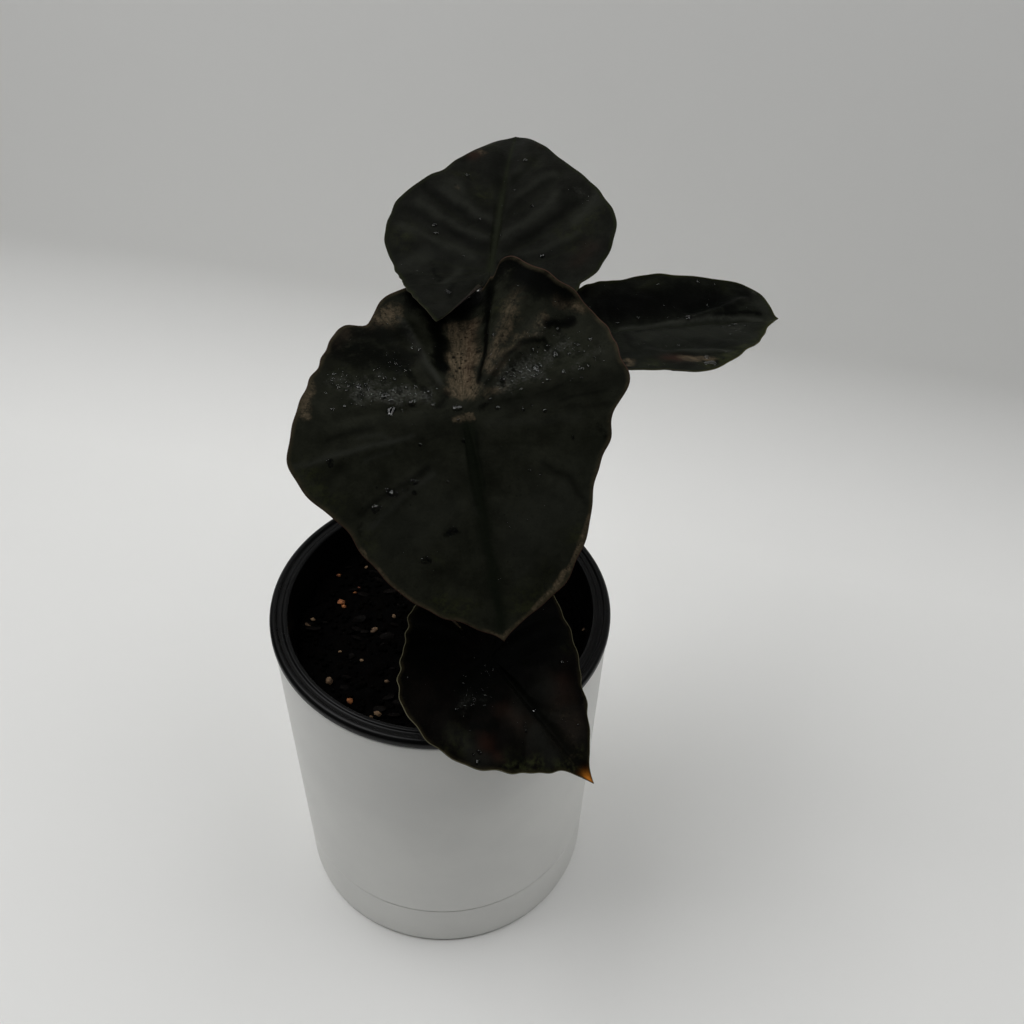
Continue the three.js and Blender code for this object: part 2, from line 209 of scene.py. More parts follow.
def mesh_object(name, points, faces, smooth=True):
    """A Blender object from points in metres and triangles."""
    mesh = bpy.data.meshes.new(name)
    mesh.vertices.add(len(points))
    mesh.vertices.foreach_set("co", np.asarray(points, np.float32).ravel())
    mesh.loops.add(len(faces) * 3)
    mesh.loops.foreach_set("vertex_index", np.asarray(faces, np.int32).ravel())
    mesh.polygons.add(len(faces))
    mesh.polygons.foreach_set("loop_start", np.arange(0, len(faces) * 3, 3, dtype=np.int32))
    mesh.polygons.foreach_set("use_smooth", np.full(len(faces), smooth))
    mesh.update(calc_edges=True)
    piece = bpy.data.objects.new(name, mesh)
    scene.collection.objects.link(piece)
    return piece


def skin(name, rings, folded=False):
    """One closed object from a stack of rings in mm."""
    points, faces = ring_mesh(rings, folded)
    return mesh_object(name, points * MM, faces)


# %% [markdown]
# ## Turned shapes
# Both planter shells and the inner pot are moulded round shapes, so each is a profile turned about the axis.
# A moulded edge is never sharp. Each profile point therefore carries the radius of its own small rounding,
# and a short curve replaces the corner before the profile is turned.
# %% Round a profile and turn it
FACETS, ROUNDING_STEPS = 192, 4


def rounded(profile):
    """Replaces each corner of a list of (radius, height, rounding) by a short curve."""
    corners = [np.array(p[:2], float) for p in profile]
    line = []
    for i, (corner, point) in enumerate(zip(corners, profile)):
        radius = point[2] if len(point) > 2 else 0
        if not radius or i in (0, len(profile) - 1):
            line.append(corner)
            continue
        back, ahead = corners[i - 1] - corner, corners[i + 1] - corner
        start = corner + back / np.linalg.norm(back) * min(radius, np.linalg.norm(back) * 0.45)
        end = corner + ahead / np.linalg.norm(ahead) * min(radius, np.linalg.norm(ahead) * 0.45)
        for t in np.linspace(0, 1, ROUNDING_STEPS + 1):
            line.append((1 - t) ** 2 * start + 2 * t * (1 - t) * corner + t * t * end)
    return line


def full_turn(sides):
    """Evenly spaced angles round a ring."""
    return np.arange(sides) * 2 * math.pi / sides


def circle(radius, height, sides):
    """One ring of points in mm. The radius and the height may change on the way round."""
    turn = full_turn(sides)
    return np.stack([radius * np.cos(turn), radius * np.sin(turn), np.broadcast_to(height, sides)], 1)


def turned(name, profile):
    """A closed round body from a profile that starts and ends near the axis."""
    return skin(name, [circle(max(r, 0.5), z, FACETS) for r, z in rounded(profile)])


# %% [markdown]
# ## The white planter and its saucer
# They are one smooth, slightly flared wall with a hairline gap where the planter stands in the saucer.
# The gap is what tells the eye that there are two pieces, so it is modelled, with rounded edges that
# catch the light, and it isn't painted on.
# %% Planter and saucer shapes
SAUCER_FOOT, SAUCER_HEIGHT, SAUCER_WALL, SAUCER_FLOOR = 52.0, 21.85, 2.2, 2.4
PLANTER_TOP, PLANTER_LIP, PLANTER_WALL, PLANTER_SEAM, PLANTER_FLOOR = 123.5, 54.4, 2.4, 22.1, 9.0
GAP = 0.3


def shell_radius(height):
    """The outer wall's radius at a height."""
    return SAUCER_FOOT + (PLANTER_LIP - SAUCER_FOOT) * height / PLANTER_TOP


saucer = turned("white_saucer", [
    (0, 0), (SAUCER_FOOT - 6, 0, 0.4), (SAUCER_FOOT - 5, 0, 0.4), (SAUCER_FOOT, 0, 1.6),
    (shell_radius(SAUCER_HEIGHT), SAUCER_HEIGHT, 0.5),
    (shell_radius(SAUCER_HEIGHT) - SAUCER_WALL, SAUCER_HEIGHT, 0.5),
    (SAUCER_FOOT - SAUCER_WALL, SAUCER_FLOOR, 1.0), (0, SAUCER_FLOOR)])
neck = SAUCER_FOOT - SAUCER_WALL - 2 * GAP
planter = turned("white_planter", [
    (0, PLANTER_FLOOR - PLANTER_WALL), (neck - 2.4, PLANTER_FLOOR - PLANTER_WALL, 0.6),
    (neck - 2.4, SAUCER_FLOOR + GAP, 0.4), (neck, SAUCER_FLOOR + GAP, 0.4), (neck, PLANTER_SEAM, 0.3),
    (shell_radius(PLANTER_SEAM), PLANTER_SEAM, 0.5), (PLANTER_LIP, PLANTER_TOP, 1.0),
    (PLANTER_LIP - PLANTER_WALL, PLANTER_TOP, 0.8),
    (shell_radius(PLANTER_SEAM) - PLANTER_WALL, PLANTER_SEAM + 2 * PLANTER_WALL, 2.0),
    (neck - PLANTER_WALL, PLANTER_SEAM - PLANTER_WALL, 2.0),
    (neck - PLANTER_WALL, PLANTER_FLOOR, 1.5), (0, PLANTER_FLOOR)])

# %% [markdown]
# ## The black inner pot
# It is thin and has a broad rolled rim in steps: an outer bead that overhangs the planter, a shallow
# groove, and a small lip inside. The rim catches long soft highlights, which is why its steps matter.
# %% Inner pot shape
RIM, RIM_TOP, RIM_HEIGHT, POT_WALL, POT_NECK, POT_FOOT, POT_BASE = 55.0, 127.3, 3.5, 1.4, 50.6, 40.0, 28.0
pot = turned("black_pot", [
    (0, POT_BASE), (POT_FOOT, POT_BASE, 1.5), (POT_NECK, RIM_TOP - RIM_HEIGHT, 0.3),
    (RIM - 0.5, RIM_TOP - RIM_HEIGHT, 0.2), (RIM, RIM_TOP - RIM_HEIGHT + 0.5, 0.4),
    (RIM, RIM_TOP - 0.9, 0.8), (RIM - 1.0, RIM_TOP, 0.7), (RIM - 2.0, RIM_TOP, 0.5),
    (RIM - 2.5, RIM_TOP - 0.9, 0.4), (POT_NECK + 0.6, RIM_TOP - 1.0, 0.4),
    (POT_NECK - 0.1, RIM_TOP - 0.35, 0.4), (POT_NECK - POT_WALL, RIM_TOP - 0.7, 0.5),
    (POT_FOOT - POT_WALL, POT_BASE + POT_WALL, 1.0), (0, POT_BASE + POT_WALL)])

# %% [markdown]
# The planter and the pot drain through holes in their floors. A Boolean modifier cuts them with a ring
# of short cylinders, and the result is kept as the piece's own mesh. Each finished piece is then seated: it
# rides the frame's root body, and the imported solids that it stands for are hidden.
# %% Cut the drain holes
DRAIN_RADIUS, DRAIN_RING, DRAIN_COUNT = 4.0, 26.0, 6


def drill(piece, height):
    """Cuts the ring of drain holes through a floor at a height."""
    for i in range(DRAIN_COUNT):
        turn = 2 * math.pi * i / DRAIN_COUNT
        middle = np.array([DRAIN_RING * math.cos(turn), DRAIN_RING * math.sin(turn), 0])
        plug = skin("drill", [circle(DRAIN_RADIUS, height + z, 32) + middle for z in (-4, 4)])
        cut = piece.modifiers.new("hole", "BOOLEAN")
        cut.operation = "DIFFERENCE"
        cut.solver = "EXACT"
        cut.object = plug
        keep_shape(piece)
        bpy.data.objects.remove(plug)


def keep_shape(piece):
    """Makes the modified shape the piece's own mesh."""
    shaped = bpy.data.meshes.new_from_object(piece.evaluated_get(bpy.context.evaluated_depsgraph_get()))
    piece.modifiers.clear()
    piece.data = shaped


def seat(piece, slot, *nodes):
    """Rides the piece on the root body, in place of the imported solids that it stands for."""
    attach(piece, "root")
    if nodes:
        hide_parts(*nodes)
    print(piece.name, "has", len(piece.data.polygons), "faces")


drill(planter, PLANTER_FLOOR - PLANTER_WALL / 2)
drill(pot, POT_BASE + POT_WALL / 2)
seat(saucer, "planter_white", "saucer")
seat(planter, "planter_white", "planter")
seat(pot, "nursery_black", "nursery_pot")

# %% [markdown]
# ## The shape of a leaf
# A leaf of this plant hangs on its stalk near the middle, like a shield. So each blade is drawn round that
# joint: an angle from the tip, clockwise seen from above, and the part of the way out to the margin.
# A few knots give the outline, the tip adds a short drip point, and the sinus is the slit between the lobes.
# Small scallops keep the margin from being too even.
#
# Each leaf below is a set of named numbers, in millimetres and degrees:
# * heading: the way that the tip points. The two slopes are the leaf's fall towards its tip, in front of the
#   joint and behind it, the knee is half the length of the bend between them, and front_curl adds to it.
# * bank, rise and curl: how far the leaf tilts sideways, and how its left and right sides lift.
# * reach: the outline's knots (angle, distance). The tip is (angle, length, spread), and the sinus is (angle,
#   its bottom's distance, width, width of each flank).
# * folds (angle, height, spread), creases (height, width, line) and veins (start on the midrib, angle at the
#   margin). The groove runs along the midrib, and swell is the height of the cushions between the veins.
# * wave (height, count, phase) and scallop (height, count): the unevenness of the margin.
# * stalk: its place round the crown. The back leaf's stalk meets its blade a little aside of the joint.
# %% The four leaves
LEAVES = {
    "front": {
        "joint": (8.5, -14, 218), "heading": -80, "front_slope": 47, "back_slope": 22, "knee": 7,
        "front_curl": 8, "bank": -3, "rise": (0, 0), "curl": (5, 5),
        "reach": [(0, 56), (18, 53), (36, 47.5), (54, 43.5), (78, 47.5), (98, 43), (118, 40.7), (140, 44),
                  (147, 40), (157, 45.5), (166, 47.5), (176, 47.5), (186, 48), (191, 45.5), (195.5, 42.8),
                  (201, 48.5), (210, 45.5), (220, 45), (232, 46), (246, 46), (256, 44.3), (268, 44.5),
                  (277, 39.7), (288, 39.5), (304, 39), (322, 46), (340, 54)],
        "tip": (-3, 6.5, 5), "sinus": (198.7, 44, 0.4, 1.4),
        "folds": [(210, 7, 28), (164, -10, 30), (256, 1.5, 9), (238, -2, 8), (152, 2, 7), (180, -3, 8),
                  (190, -10, 10)],
        "groove": 0.9, "wave": (0.6, 7, 40), "stalk": 250, "swell": 0.22, "scallop": (0.35, 29),
        "veins": [(0, 80), (8, 51), (20, 30), (32, 14), (0, -84), (10, -62), (22, -42), (34, -20), (0, 128),
                  (0, 108), (0, -104), (0, -128)],
        "creases": [(-1.3, 2.0, [(-3, -5), (-6, -14), (-8, -24), (-12, -38)]),
                    (1.2, 1.6, [(3, -5), (6, -13), (9, -25), (13, -38)]),
                    (-0.8, 2.6, [(2, -16), (3, -26), (4, -38)]),
                    (1.0, 2.4, [(-8, -7), (-18, -16), (-33, -28)]),
                    (-0.9, 3.0, [(-12, -16), (-24, -27)]),
                    (-0.7, 1.8, [(6, -2), (20, -3), (40, -1)]),
                    (0.5, 2.0, [(12, 15), (20, 20), (29, 26)]),
                    (0.5, 2.0, [(14, 6), (28, 7), (42, 10)]),
                    (-0.4, 1.6, [(-17, 17), (-25, 22), (-29, 29)])],
    },
    "back": {
        "joint": (13.7, 38, 229), "heading": 83.5, "front_slope": -23, "back_slope": 3, "knee": 8,
        "front_curl": 30, "bank": 1, "rise": (0, 0), "curl": (4, 4),
        "reach": [(0, 57), (8, 54.5), (15, 50), (24, 46.3), (35, 44), (48, 41.7), (61, 39.6), (70, 36.7),
                  (80, 33.1), (93, 29), (101, 27), (125, 28.5), (150, 31), (165, 31), (193, 37), (198, 35.5),
                  (207, 32.7), (220, 29), (246, 26), (261, 27.3), (269, 28.9), (281, 32.5), (293, 34.8),
                  (306, 38.4), (320, 39.4), (330, 39.8), (335, 42), (340, 45.7), (349, 52)],
        "tip": (-1, 9, 7), "sinus": (183.5, 9.9, 15.5, 3), "aside": -1.4,
        "folds": [(152, -11, 28), (205, 5.5, 24), (30, 1.2, 12), (-30, 1.2, 12), (70, 1, 12), (-70, 1, 12)],
        "groove": 0.9, "wave": (0.6, 8, 0), "stalk": 100, "swell": 0.7, "scallop": (0.2, 31),
        "veins": [(0, 61), (4, 40), (18, 23), (31, 9), (0, -76), (5, -56), (12, -39), (25, -18), (0, 160),
                  (0, 130), (0, 96), (0, 207), (0, 236), (0, 262)],
        "creases": [(-0.4, 1.2, [(6, 9), (12, 14), (18, 21), (24, 28)]),
                    (-0.4, 1.2, [(-4, 17), (-12, 19), (-18, 24), (-23, 28)]),
                    (-0.4, 1.2, [(-8, 8.5), (-15, 12), (-22, 17)])],
    },
    "right": {
        "joint": (51, 34, 212), "heading": 11.5, "front_slope": 0, "back_slope": 4, "knee": 8,
        "front_curl": 6, "bank": 15, "rise": (15, 0), "curl": (8, 0),
        "reach": [(0, 48), (14, 43.5), (28, 41.5), (50, 40), (70, 39), (82, 35.5), (100, 32), (125, 28),
                  (150, 30), (168, 30), (192, 29), (210, 27), (240, 24), (262, 23.5), (280, 25), (305, 32),
                  (318, 34), (328, 42), (336, 49.5), (344, 52)],
        "tip": (-2, 3, 4), "sinus": (180, 12, 8, 6),
        "folds": [(35, 1, 12), (75, 1, 12), (-40, 1, 12)],
        "groove": 0.7, "wave": (0.6, 8, 90), "stalk": 25, "swell": 0.35, "scallop": (0.25, 27),
        "veins": [(1, 78), (5, 58), (12, 42), (21, 27), (31, 13), (0, -80), (7, -58), (16, -40), (26, -24),
                  (0, 162), (0, 130), (0, 102), (0, 198), (0, 228), (0, 255)],
        "creases": [(0.9, 1.4, [(-3, 22), (-7, 35), (-14, 47)]), (-0.8, 1.6, [(-6, 22), (-12, 36)]),
                    (0.5, 1.2, [(20, 8), (22, 18), (26, 27)])],
    },
    "low": {
        "joint": (17, -40, 150), "heading": -38, "front_slope": 28.5, "back_slope": 16, "knee": 8,
        "front_curl": 6, "bank": 4.5, "rise": (0, 0), "curl": (4, 4),
        "reach": [(0, 40), (14, 37), (30, 35), (60, 34.5), (84, 34.5), (100, 32.5), (120, 27.5), (140, 25),
                  (165, 26), (195, 26), (225, 28), (255, 31), (268, 31), (282, 28.5), (300, 28.5),
                  (322, 29.5), (338, 34), (350, 38)],
        "tip": (0, 7, 3.5), "sinus": (180, 12, 1.0, 2.5),
        "folds": [(35, 1, 12), (-35, 1, 12), (80, 1, 12), (-80, 1, 12)],
        "groove": 0.8, "wave": (0.5, 7, 150), "stalk": -40, "swell": 0.5, "scallop": (0.45, 25),
        "veins": [(0, 80), (6, 60), (13, 43), (22, 26), (0, -80), (7, -60), (15, -42), (24, -25),
                  (0, 160), (0, 132), (0, 105), (0, 200), (0, 228), (0, 256)],
        "creases": [(-0.5, 1.4, [(0, 18), (-5, 26), (-12, 31)]), (-0.5, 1.4, [(3, 20), (12, 28), (20, 33)])],
    },
}
FOLD_POWER, WAVE_POWER, GROOVE_SPREAD = 1.4, 4, 4
print(len(LEAVES), "leaves")

# %% [markdown]
# A smooth curve through the knots gives the outline at any angle. The tip and the scallops are added to it,
# and the sinus then pulls the margin in towards the joint.
# %% The outline as a smooth function
def soft(t):
    """0 below 0, 1 above 1 and smooth between."""
    t = np.clip(t, 0, 1)
    return t * t * (3 - 2 * t)


def turn_between(a, b):
    """The turn from b to a in degrees, from -180 to 180."""
    return (a - b + 180) % 360 - 180


def through_knots(knots, angle):
    """A smooth closed curve through (angle, value) knots."""
    count = len(knots)
    where, value = np.array(knots, float).T

    def knot(i):
        return where[i % count] + 360 * (i // count), value[i % count]

    at = (angle - where[0]) % 360 + where[0]
    i = np.searchsorted(where, at, side="right") - 1
    before, start, end, after = knot(i - 1), knot(i), knot(i + 1), knot(i + 2)
    width = end[0] - start[0]
    t = (at - start[0]) / width
    leave = (end[1] - before[1]) / (end[0] - before[0]) * width
    arrive = (after[1] - start[1]) / (after[0] - start[0]) * width
    return ((2 * t**3 - 3 * t**2 + 1) * start[1] + (t**3 - 2 * t**2 + t) * leave
            + (3 * t**2 - 2 * t**3) * end[1] + (t**3 - t**2) * arrive)


def lobes_at(leaf, angle):
    """How far the outline is from the joint, as if the sinus were closed."""
    tip, longer, spread = leaf["tip"]
    size, count = leaf["scallop"]
    turn = np.radians(angle)
    scallops = size * np.sin(count * turn + 2 * np.sin(3 * turn)) * np.sin(5 * turn + 1)
    point = longer * np.exp(-np.abs(turn_between(angle, tip)) / spread)
    return through_knots(leaf["reach"], angle) + point + scallops


def reach_at(leaf, angle):
    """How far the margin is from the joint."""
    reach = lobes_at(leaf, angle)
    sinus, depth, width, edge = leaf["sinus"]
    notch = 1 - soft((np.abs(turn_between(angle, sinus)) - width / 2) / edge)
    return reach + (depth - reach) * notch


for name, leaf in LEAVES.items():
    print(name, "leaf reaches", round(float(reach_at(leaf, np.array(0.0)))), "mm from its joint to its tip")

# %% [markdown]
# Two bends give the blade its body: one along the midrib, where it falls towards the tip, and one across it.
# Both follow the leaf's own length, so bending never stretches it. Folds and the wavy margin are added on
# top as small heights.
# %% Bends and folds
def slope_at(leaf, s):
    """How steeply the midrib falls at a distance from the joint."""
    bend = soft((s + leaf["knee"]) / (2 * leaf["knee"]))
    curl = leaf["front_curl"] * np.clip(s / 60, 0, 2) ** 1.5
    return leaf["back_slope"] + (leaf["front_slope"] - leaf["back_slope"]) * bend + curl


def bank_at(leaf, s):
    """How steeply the blade rises away from the midrib."""
    out = np.abs(s)
    side = (s >= 0).astype(int)
    rise, curl = np.array(leaf["rise"])[side], np.array(leaf["curl"])[side]
    lift = rise * soft(out / 4) + curl * np.clip(out / 40, 0, 2)
    return np.where(s < 0, -lift, lift)


def bent_line(angle_at):
    """Follows a bending line and gives how far it runs and falls after each length."""
    half, step = 90, 0.5
    s = np.arange(-half, half + step, step)
    angle = np.radians(angle_at(s[:-1] + step / 2))
    run = np.concatenate([[0], np.cumsum(step * np.cos(angle))])
    fall = np.concatenate([[0], np.cumsum(step * np.sin(angle))])
    zero = len(s) // 2
    return lambda at: (np.interp(at, s, run - run[zero]), np.interp(at, s, fall - fall[zero]))


def fold_at(leaf, angle, part):
    """The height of the folds, the midrib's groove and the wavy margin."""
    def hill(at, height, spread):
        return height * np.exp(-(turn_between(angle, at) / spread) ** 2)

    outward = part * reach_at(leaf, angle) / lobes_at(leaf, angle)
    folds = sum(hill(*fold) for fold in leaf["folds"]) * outward**FOLD_POWER
    groove = hill(leaf["tip"][0], -leaf["groove"], GROOVE_SPREAD) * soft(part * 4)
    swing, count, phase = leaf["wave"]
    wave = swing * np.sin(np.radians(count * angle + phase)) * part**WAVE_POWER
    return folds + groove + wave


# %% [markdown]
# Now the pieces are put together. For every leaf there is one function that takes an angle and a part of the
# way out, and gives the point in space. Small steps on it give the direction that the face looks.
# %% The blade in space
STEP_ROUND, STEP_OUT = 0.6, 0.01


def blade_surface(leaf):
    """A function that gives the blade's bare upper face at an angle and a part of the way to the margin."""
    along = bent_line(lambda s: slope_at(leaf, s))
    across = bent_line(lambda s: bank_at(leaf, s))
    heading, bank = math.radians(leaf["heading"]), math.radians(leaf["bank"])
    forward = np.array([math.cos(heading), math.sin(heading), 0])
    level = np.array([math.sin(heading), -math.cos(heading), 0])
    right = level * math.cos(bank) + np.array([0, 0, math.sin(bank)])
    up = np.cross(right, forward)

    def surface(angle, part):
        reach = reach_at(leaf, angle) * part
        turn = np.radians(angle)
        run, fall = along(reach * np.cos(turn))
        side, lift = across(reach * np.sin(turn))
        slope = np.radians(slope_at(leaf, reach * np.cos(turn)))
        height = lift + fold_at(leaf, angle, part)
        ahead, above = run + height * np.sin(slope), height * np.cos(slope) - fall
        return (np.array(leaf["joint"], float) + ahead[..., None] * forward + above[..., None] * up
                + side[..., None] * right)

    return surface


def normals_of(surface, angle, part):
    """The direction that the face looks, from small steps round and outward."""
    around = surface(angle + STEP_ROUND, part) - surface(angle - STEP_ROUND, part)
    outward = surface(angle, part + STEP_OUT) - surface(angle, part - STEP_OUT)
    normal = np.cross(around, outward)
    return normal / np.linalg.norm(normal, axis=-1, keepdims=True)


# %% [markdown]
# ## Veins
# The veins shape the blade more than its colour does: the leaf is sunk along them and swells between them.
# Side veins leave the midrib steeply and bend towards the tip. The veins of the lobes all start at the joint.
# Each vein is a curve in the flat leaf, and the distance to the nearest one shapes and colours every point.
# %% Vein curves and distances
VEIN_END, VEIN_BOW = 0.95, 16
MIDRIB_WIDTH, MIDRIB_TAPER, VEIN_WIDTH, VEIN_TAPER, VEIN_VALLEY = 1.3, 0.9, 0.75, 0.4, 2.8


def flat_point(leaf, angle, part):
    """A point of the flat leaf: x to its right and y to its tip."""
    reach = reach_at(leaf, angle) * part
    turn = np.radians(angle)
    return np.stack([reach * np.sin(turn), reach * np.cos(turn)], -1)


def handled(start, first, second, end, steps):
    """Points on a smooth curve from start to end, pulled towards two handles on the way."""
    t = np.linspace(0, 1, steps)[:, None]
    return (1 - t)**3 * start + 3 * t * (1 - t)**2 * first + 3 * t**2 * (1 - t) * second + t**3 * end


def vein_curve(leaf, start, angle):
    """A side vein from the midrib, or from the joint, out to near the margin."""
    tip = math.radians(leaf["tip"][0])
    begin = start * np.array([math.sin(tip), math.cos(tip)])
    end = flat_point(leaf, np.array(float(angle)), VEIN_END)
    chord = end - begin
    length = np.linalg.norm(chord)
    bearing = math.atan2(chord[0], chord[1])
    bow = math.radians(VEIN_BOW) * (1 if turn_between(angle, 0) > 0 else -1)

    def heading(turn):
        return np.array([math.sin(turn), math.cos(turn)]) * length * 0.38

    return handled(begin, begin + heading(bearing + bow), end - heading(bearing - 1.3 * bow), end, 14)


def near_curve(x, y, curve):
    """The distance from every point to a curve, and how far along the curve the nearest place is."""
    best = np.full(x.shape, 1e9)
    share = np.zeros(x.shape)
    steps = len(curve) - 1
    for i in range(steps):
        (ax, ay), (bx, by) = curve[i], curve[i + 1]
        dx, dy = bx - ax, by - ay
        t = np.clip(((x - ax) * dx + (y - ay) * dy) / (dx * dx + dy * dy + 1e-9), 0, 1)
        gap = np.hypot(x - ax - t * dx, y - ay - t * dy)
        nearer = gap < best
        best = np.where(nearer, gap, best)
        share = np.where(nearer, (i + t) / steps, share)
    return best, share


def vein_map(leaf, x, y):
    """The midrib's line, the side veins' lines and the swelling between veins, each from 0 to 1."""
    tip = leaf["tip"][0]
    end = flat_point(leaf, np.array(float(tip)), 0.99)
    midrib_gap, along = near_curve(x, y, np.linspace([0, 0], end, 9))
    midrib = np.exp(-(midrib_gap / (MIDRIB_WIDTH - MIDRIB_TAPER * along)) ** 2)
    nearest = midrib_gap.copy()
    side = np.zeros(x.shape)
    for start, angle in leaf["veins"]:
        gap, along = near_curve(x, y, vein_curve(leaf, start, angle))
        line = np.exp(-(gap / (VEIN_WIDTH - VEIN_TAPER * along)) ** 2) * (1 - 0.6 * along)
        side = np.maximum(side, line)
        nearest = np.minimum(nearest, gap)
    return midrib, side, 1 - np.exp(-(nearest / VEIN_VALLEY) ** 2)


# %% [markdown]
# ## From the function to a mesh
# The upper face follows the function, sunk at the veins and puffed between them. The lower face lies half a
# millimetre under it, and there the veins stand out, thickest at the joint. The angles lie closer together
# at the tip and at the sinus, where the outline turns sharply.
# %% Leaf meshes
THICKNESS, VEIN_DEPTH, SIDE_VEIN_DEPTH, RIPPLE, UPPER_SINK = 0.46, 0.3, 0.25, 0.08, 0.35
RIB_BELOW, SIDE_RIB_BELOW, MARGIN_THINNER = 0.55, 0.3, 0.55
PARTS = np.concatenate([np.linspace(0.02, 0.9, 44), np.linspace(0.915, 0.985, 8), [0.993, 1.0]])


def blade_angles(leaf):
    """Angles round the joint, closer together at the tip and the sinus."""
    tip = leaf["tip"][0]
    sinus, _, width, edge = leaf["sinus"]
    half = width / 2 + edge + 1
    close = [tip + np.arange(-9, 9.01, 0.6), sinus + np.linspace(-half, half, 45)]
    even = np.arange(0, 360, 1.15)
    apart = (np.abs(turn_between(even, tip)) > 9.4) & (np.abs(turn_between(even, sinus)) > half + 0.4)
    return np.sort(np.concatenate([even[apart], *close]) % 360)[::-1]


def crease(x, y, height, width, line):
    """A soft ridge, or a furrow where the height is negative, that fades in and out along a line."""
    gap, along = near_curve(x, y, np.array(line, float))
    return height * np.exp(-(gap / width) ** 2) * soft(along * 4) * soft((1 - along) * 4)


def relief(leaf, x, y):
    """How far the upper face stands off the bare surface."""
    midrib, side, swell = vein_map(leaf, x, y)
    out = soft(np.hypot(x, y) / 12)
    ripple = np.sin(0.55 * x + 1.3 * np.sin(0.23 * y)) * np.sin(0.48 * y + np.sin(0.31 * x + 2))
    lift = (leaf["swell"] * swell * out - VEIN_DEPTH * midrib - SIDE_VEIN_DEPTH * leaf["swell"] * side
            + RIPPLE * ripple * out - UPPER_SINK)
    return lift + sum(crease(x, y, *line) for line in leaf["creases"]), midrib, side


def store(piece, name, values):
    """Keeps one number for each vertex, for a finish to read."""
    layer = piece.data.attributes.new(name, "FLOAT", "POINT")
    layer.data.foreach_set("value", np.asarray(values, np.float32))


def leaf_piece(name, leaf):
    """The blade as one closed mesh, with the values that its finish reads."""
    surface = blade_surface(leaf)
    angle, part = np.meshgrid(blade_angles(leaf), PARTS)
    base, normal = surface(angle, part), normals_of(surface, angle, part)
    flat = flat_point(leaf, angle, part)
    lift, midrib, side = relief(leaf, flat[..., 0], flat[..., 1])
    fade_out = soft((1 - part) / 0.05)
    upper = base + normal * (lift * fade_out)[..., None]
    thick = (THICKNESS * (1 - MARGIN_THINNER * soft((part - 0.97) / 0.03))
             + (RIB_BELOW * midrib + SIDE_RIB_BELOW * side) * fade_out)
    lower = upper - normal * thick[..., None]
    rings = np.concatenate([lower, upper[::-1]])
    piece = skin("leaf_blade_" + name, rings, folded=True)
    edge = (1 - part) * reach_at(leaf, angle)
    kept = {"flat_x": flat[..., 0], "flat_y": flat[..., 1], "midrib": midrib, "side_vein": side, "edge": edge}
    for key, value in kept.items():
        rows = np.concatenate([value, value[::-1]])
        store(piece, key, np.concatenate([rows.ravel(), [rows[0].mean(), rows[-1].mean()]]))
    paint_faces(piece, rings.shape[1] * rings.shape[0] // 2)
    return piece


def paint_faces(piece, first_upper):
    """Gives the faces of the upper side the first material and the others the second."""
    corners = np.empty(len(piece.data.loops), np.int32)
    piece.data.loops.foreach_get("vertex_index", corners)
    lower = corners.reshape(-1, 3).min(axis=1) < first_upper
    piece.data.polygons.foreach_set("material_index", lower.astype(np.int32))


blades = {name: leaf_piece(name, leaf) for name, leaf in LEAVES.items()}
for name, piece in blades.items():
    seat(piece, "leaf_dark", "leaf_" + name)
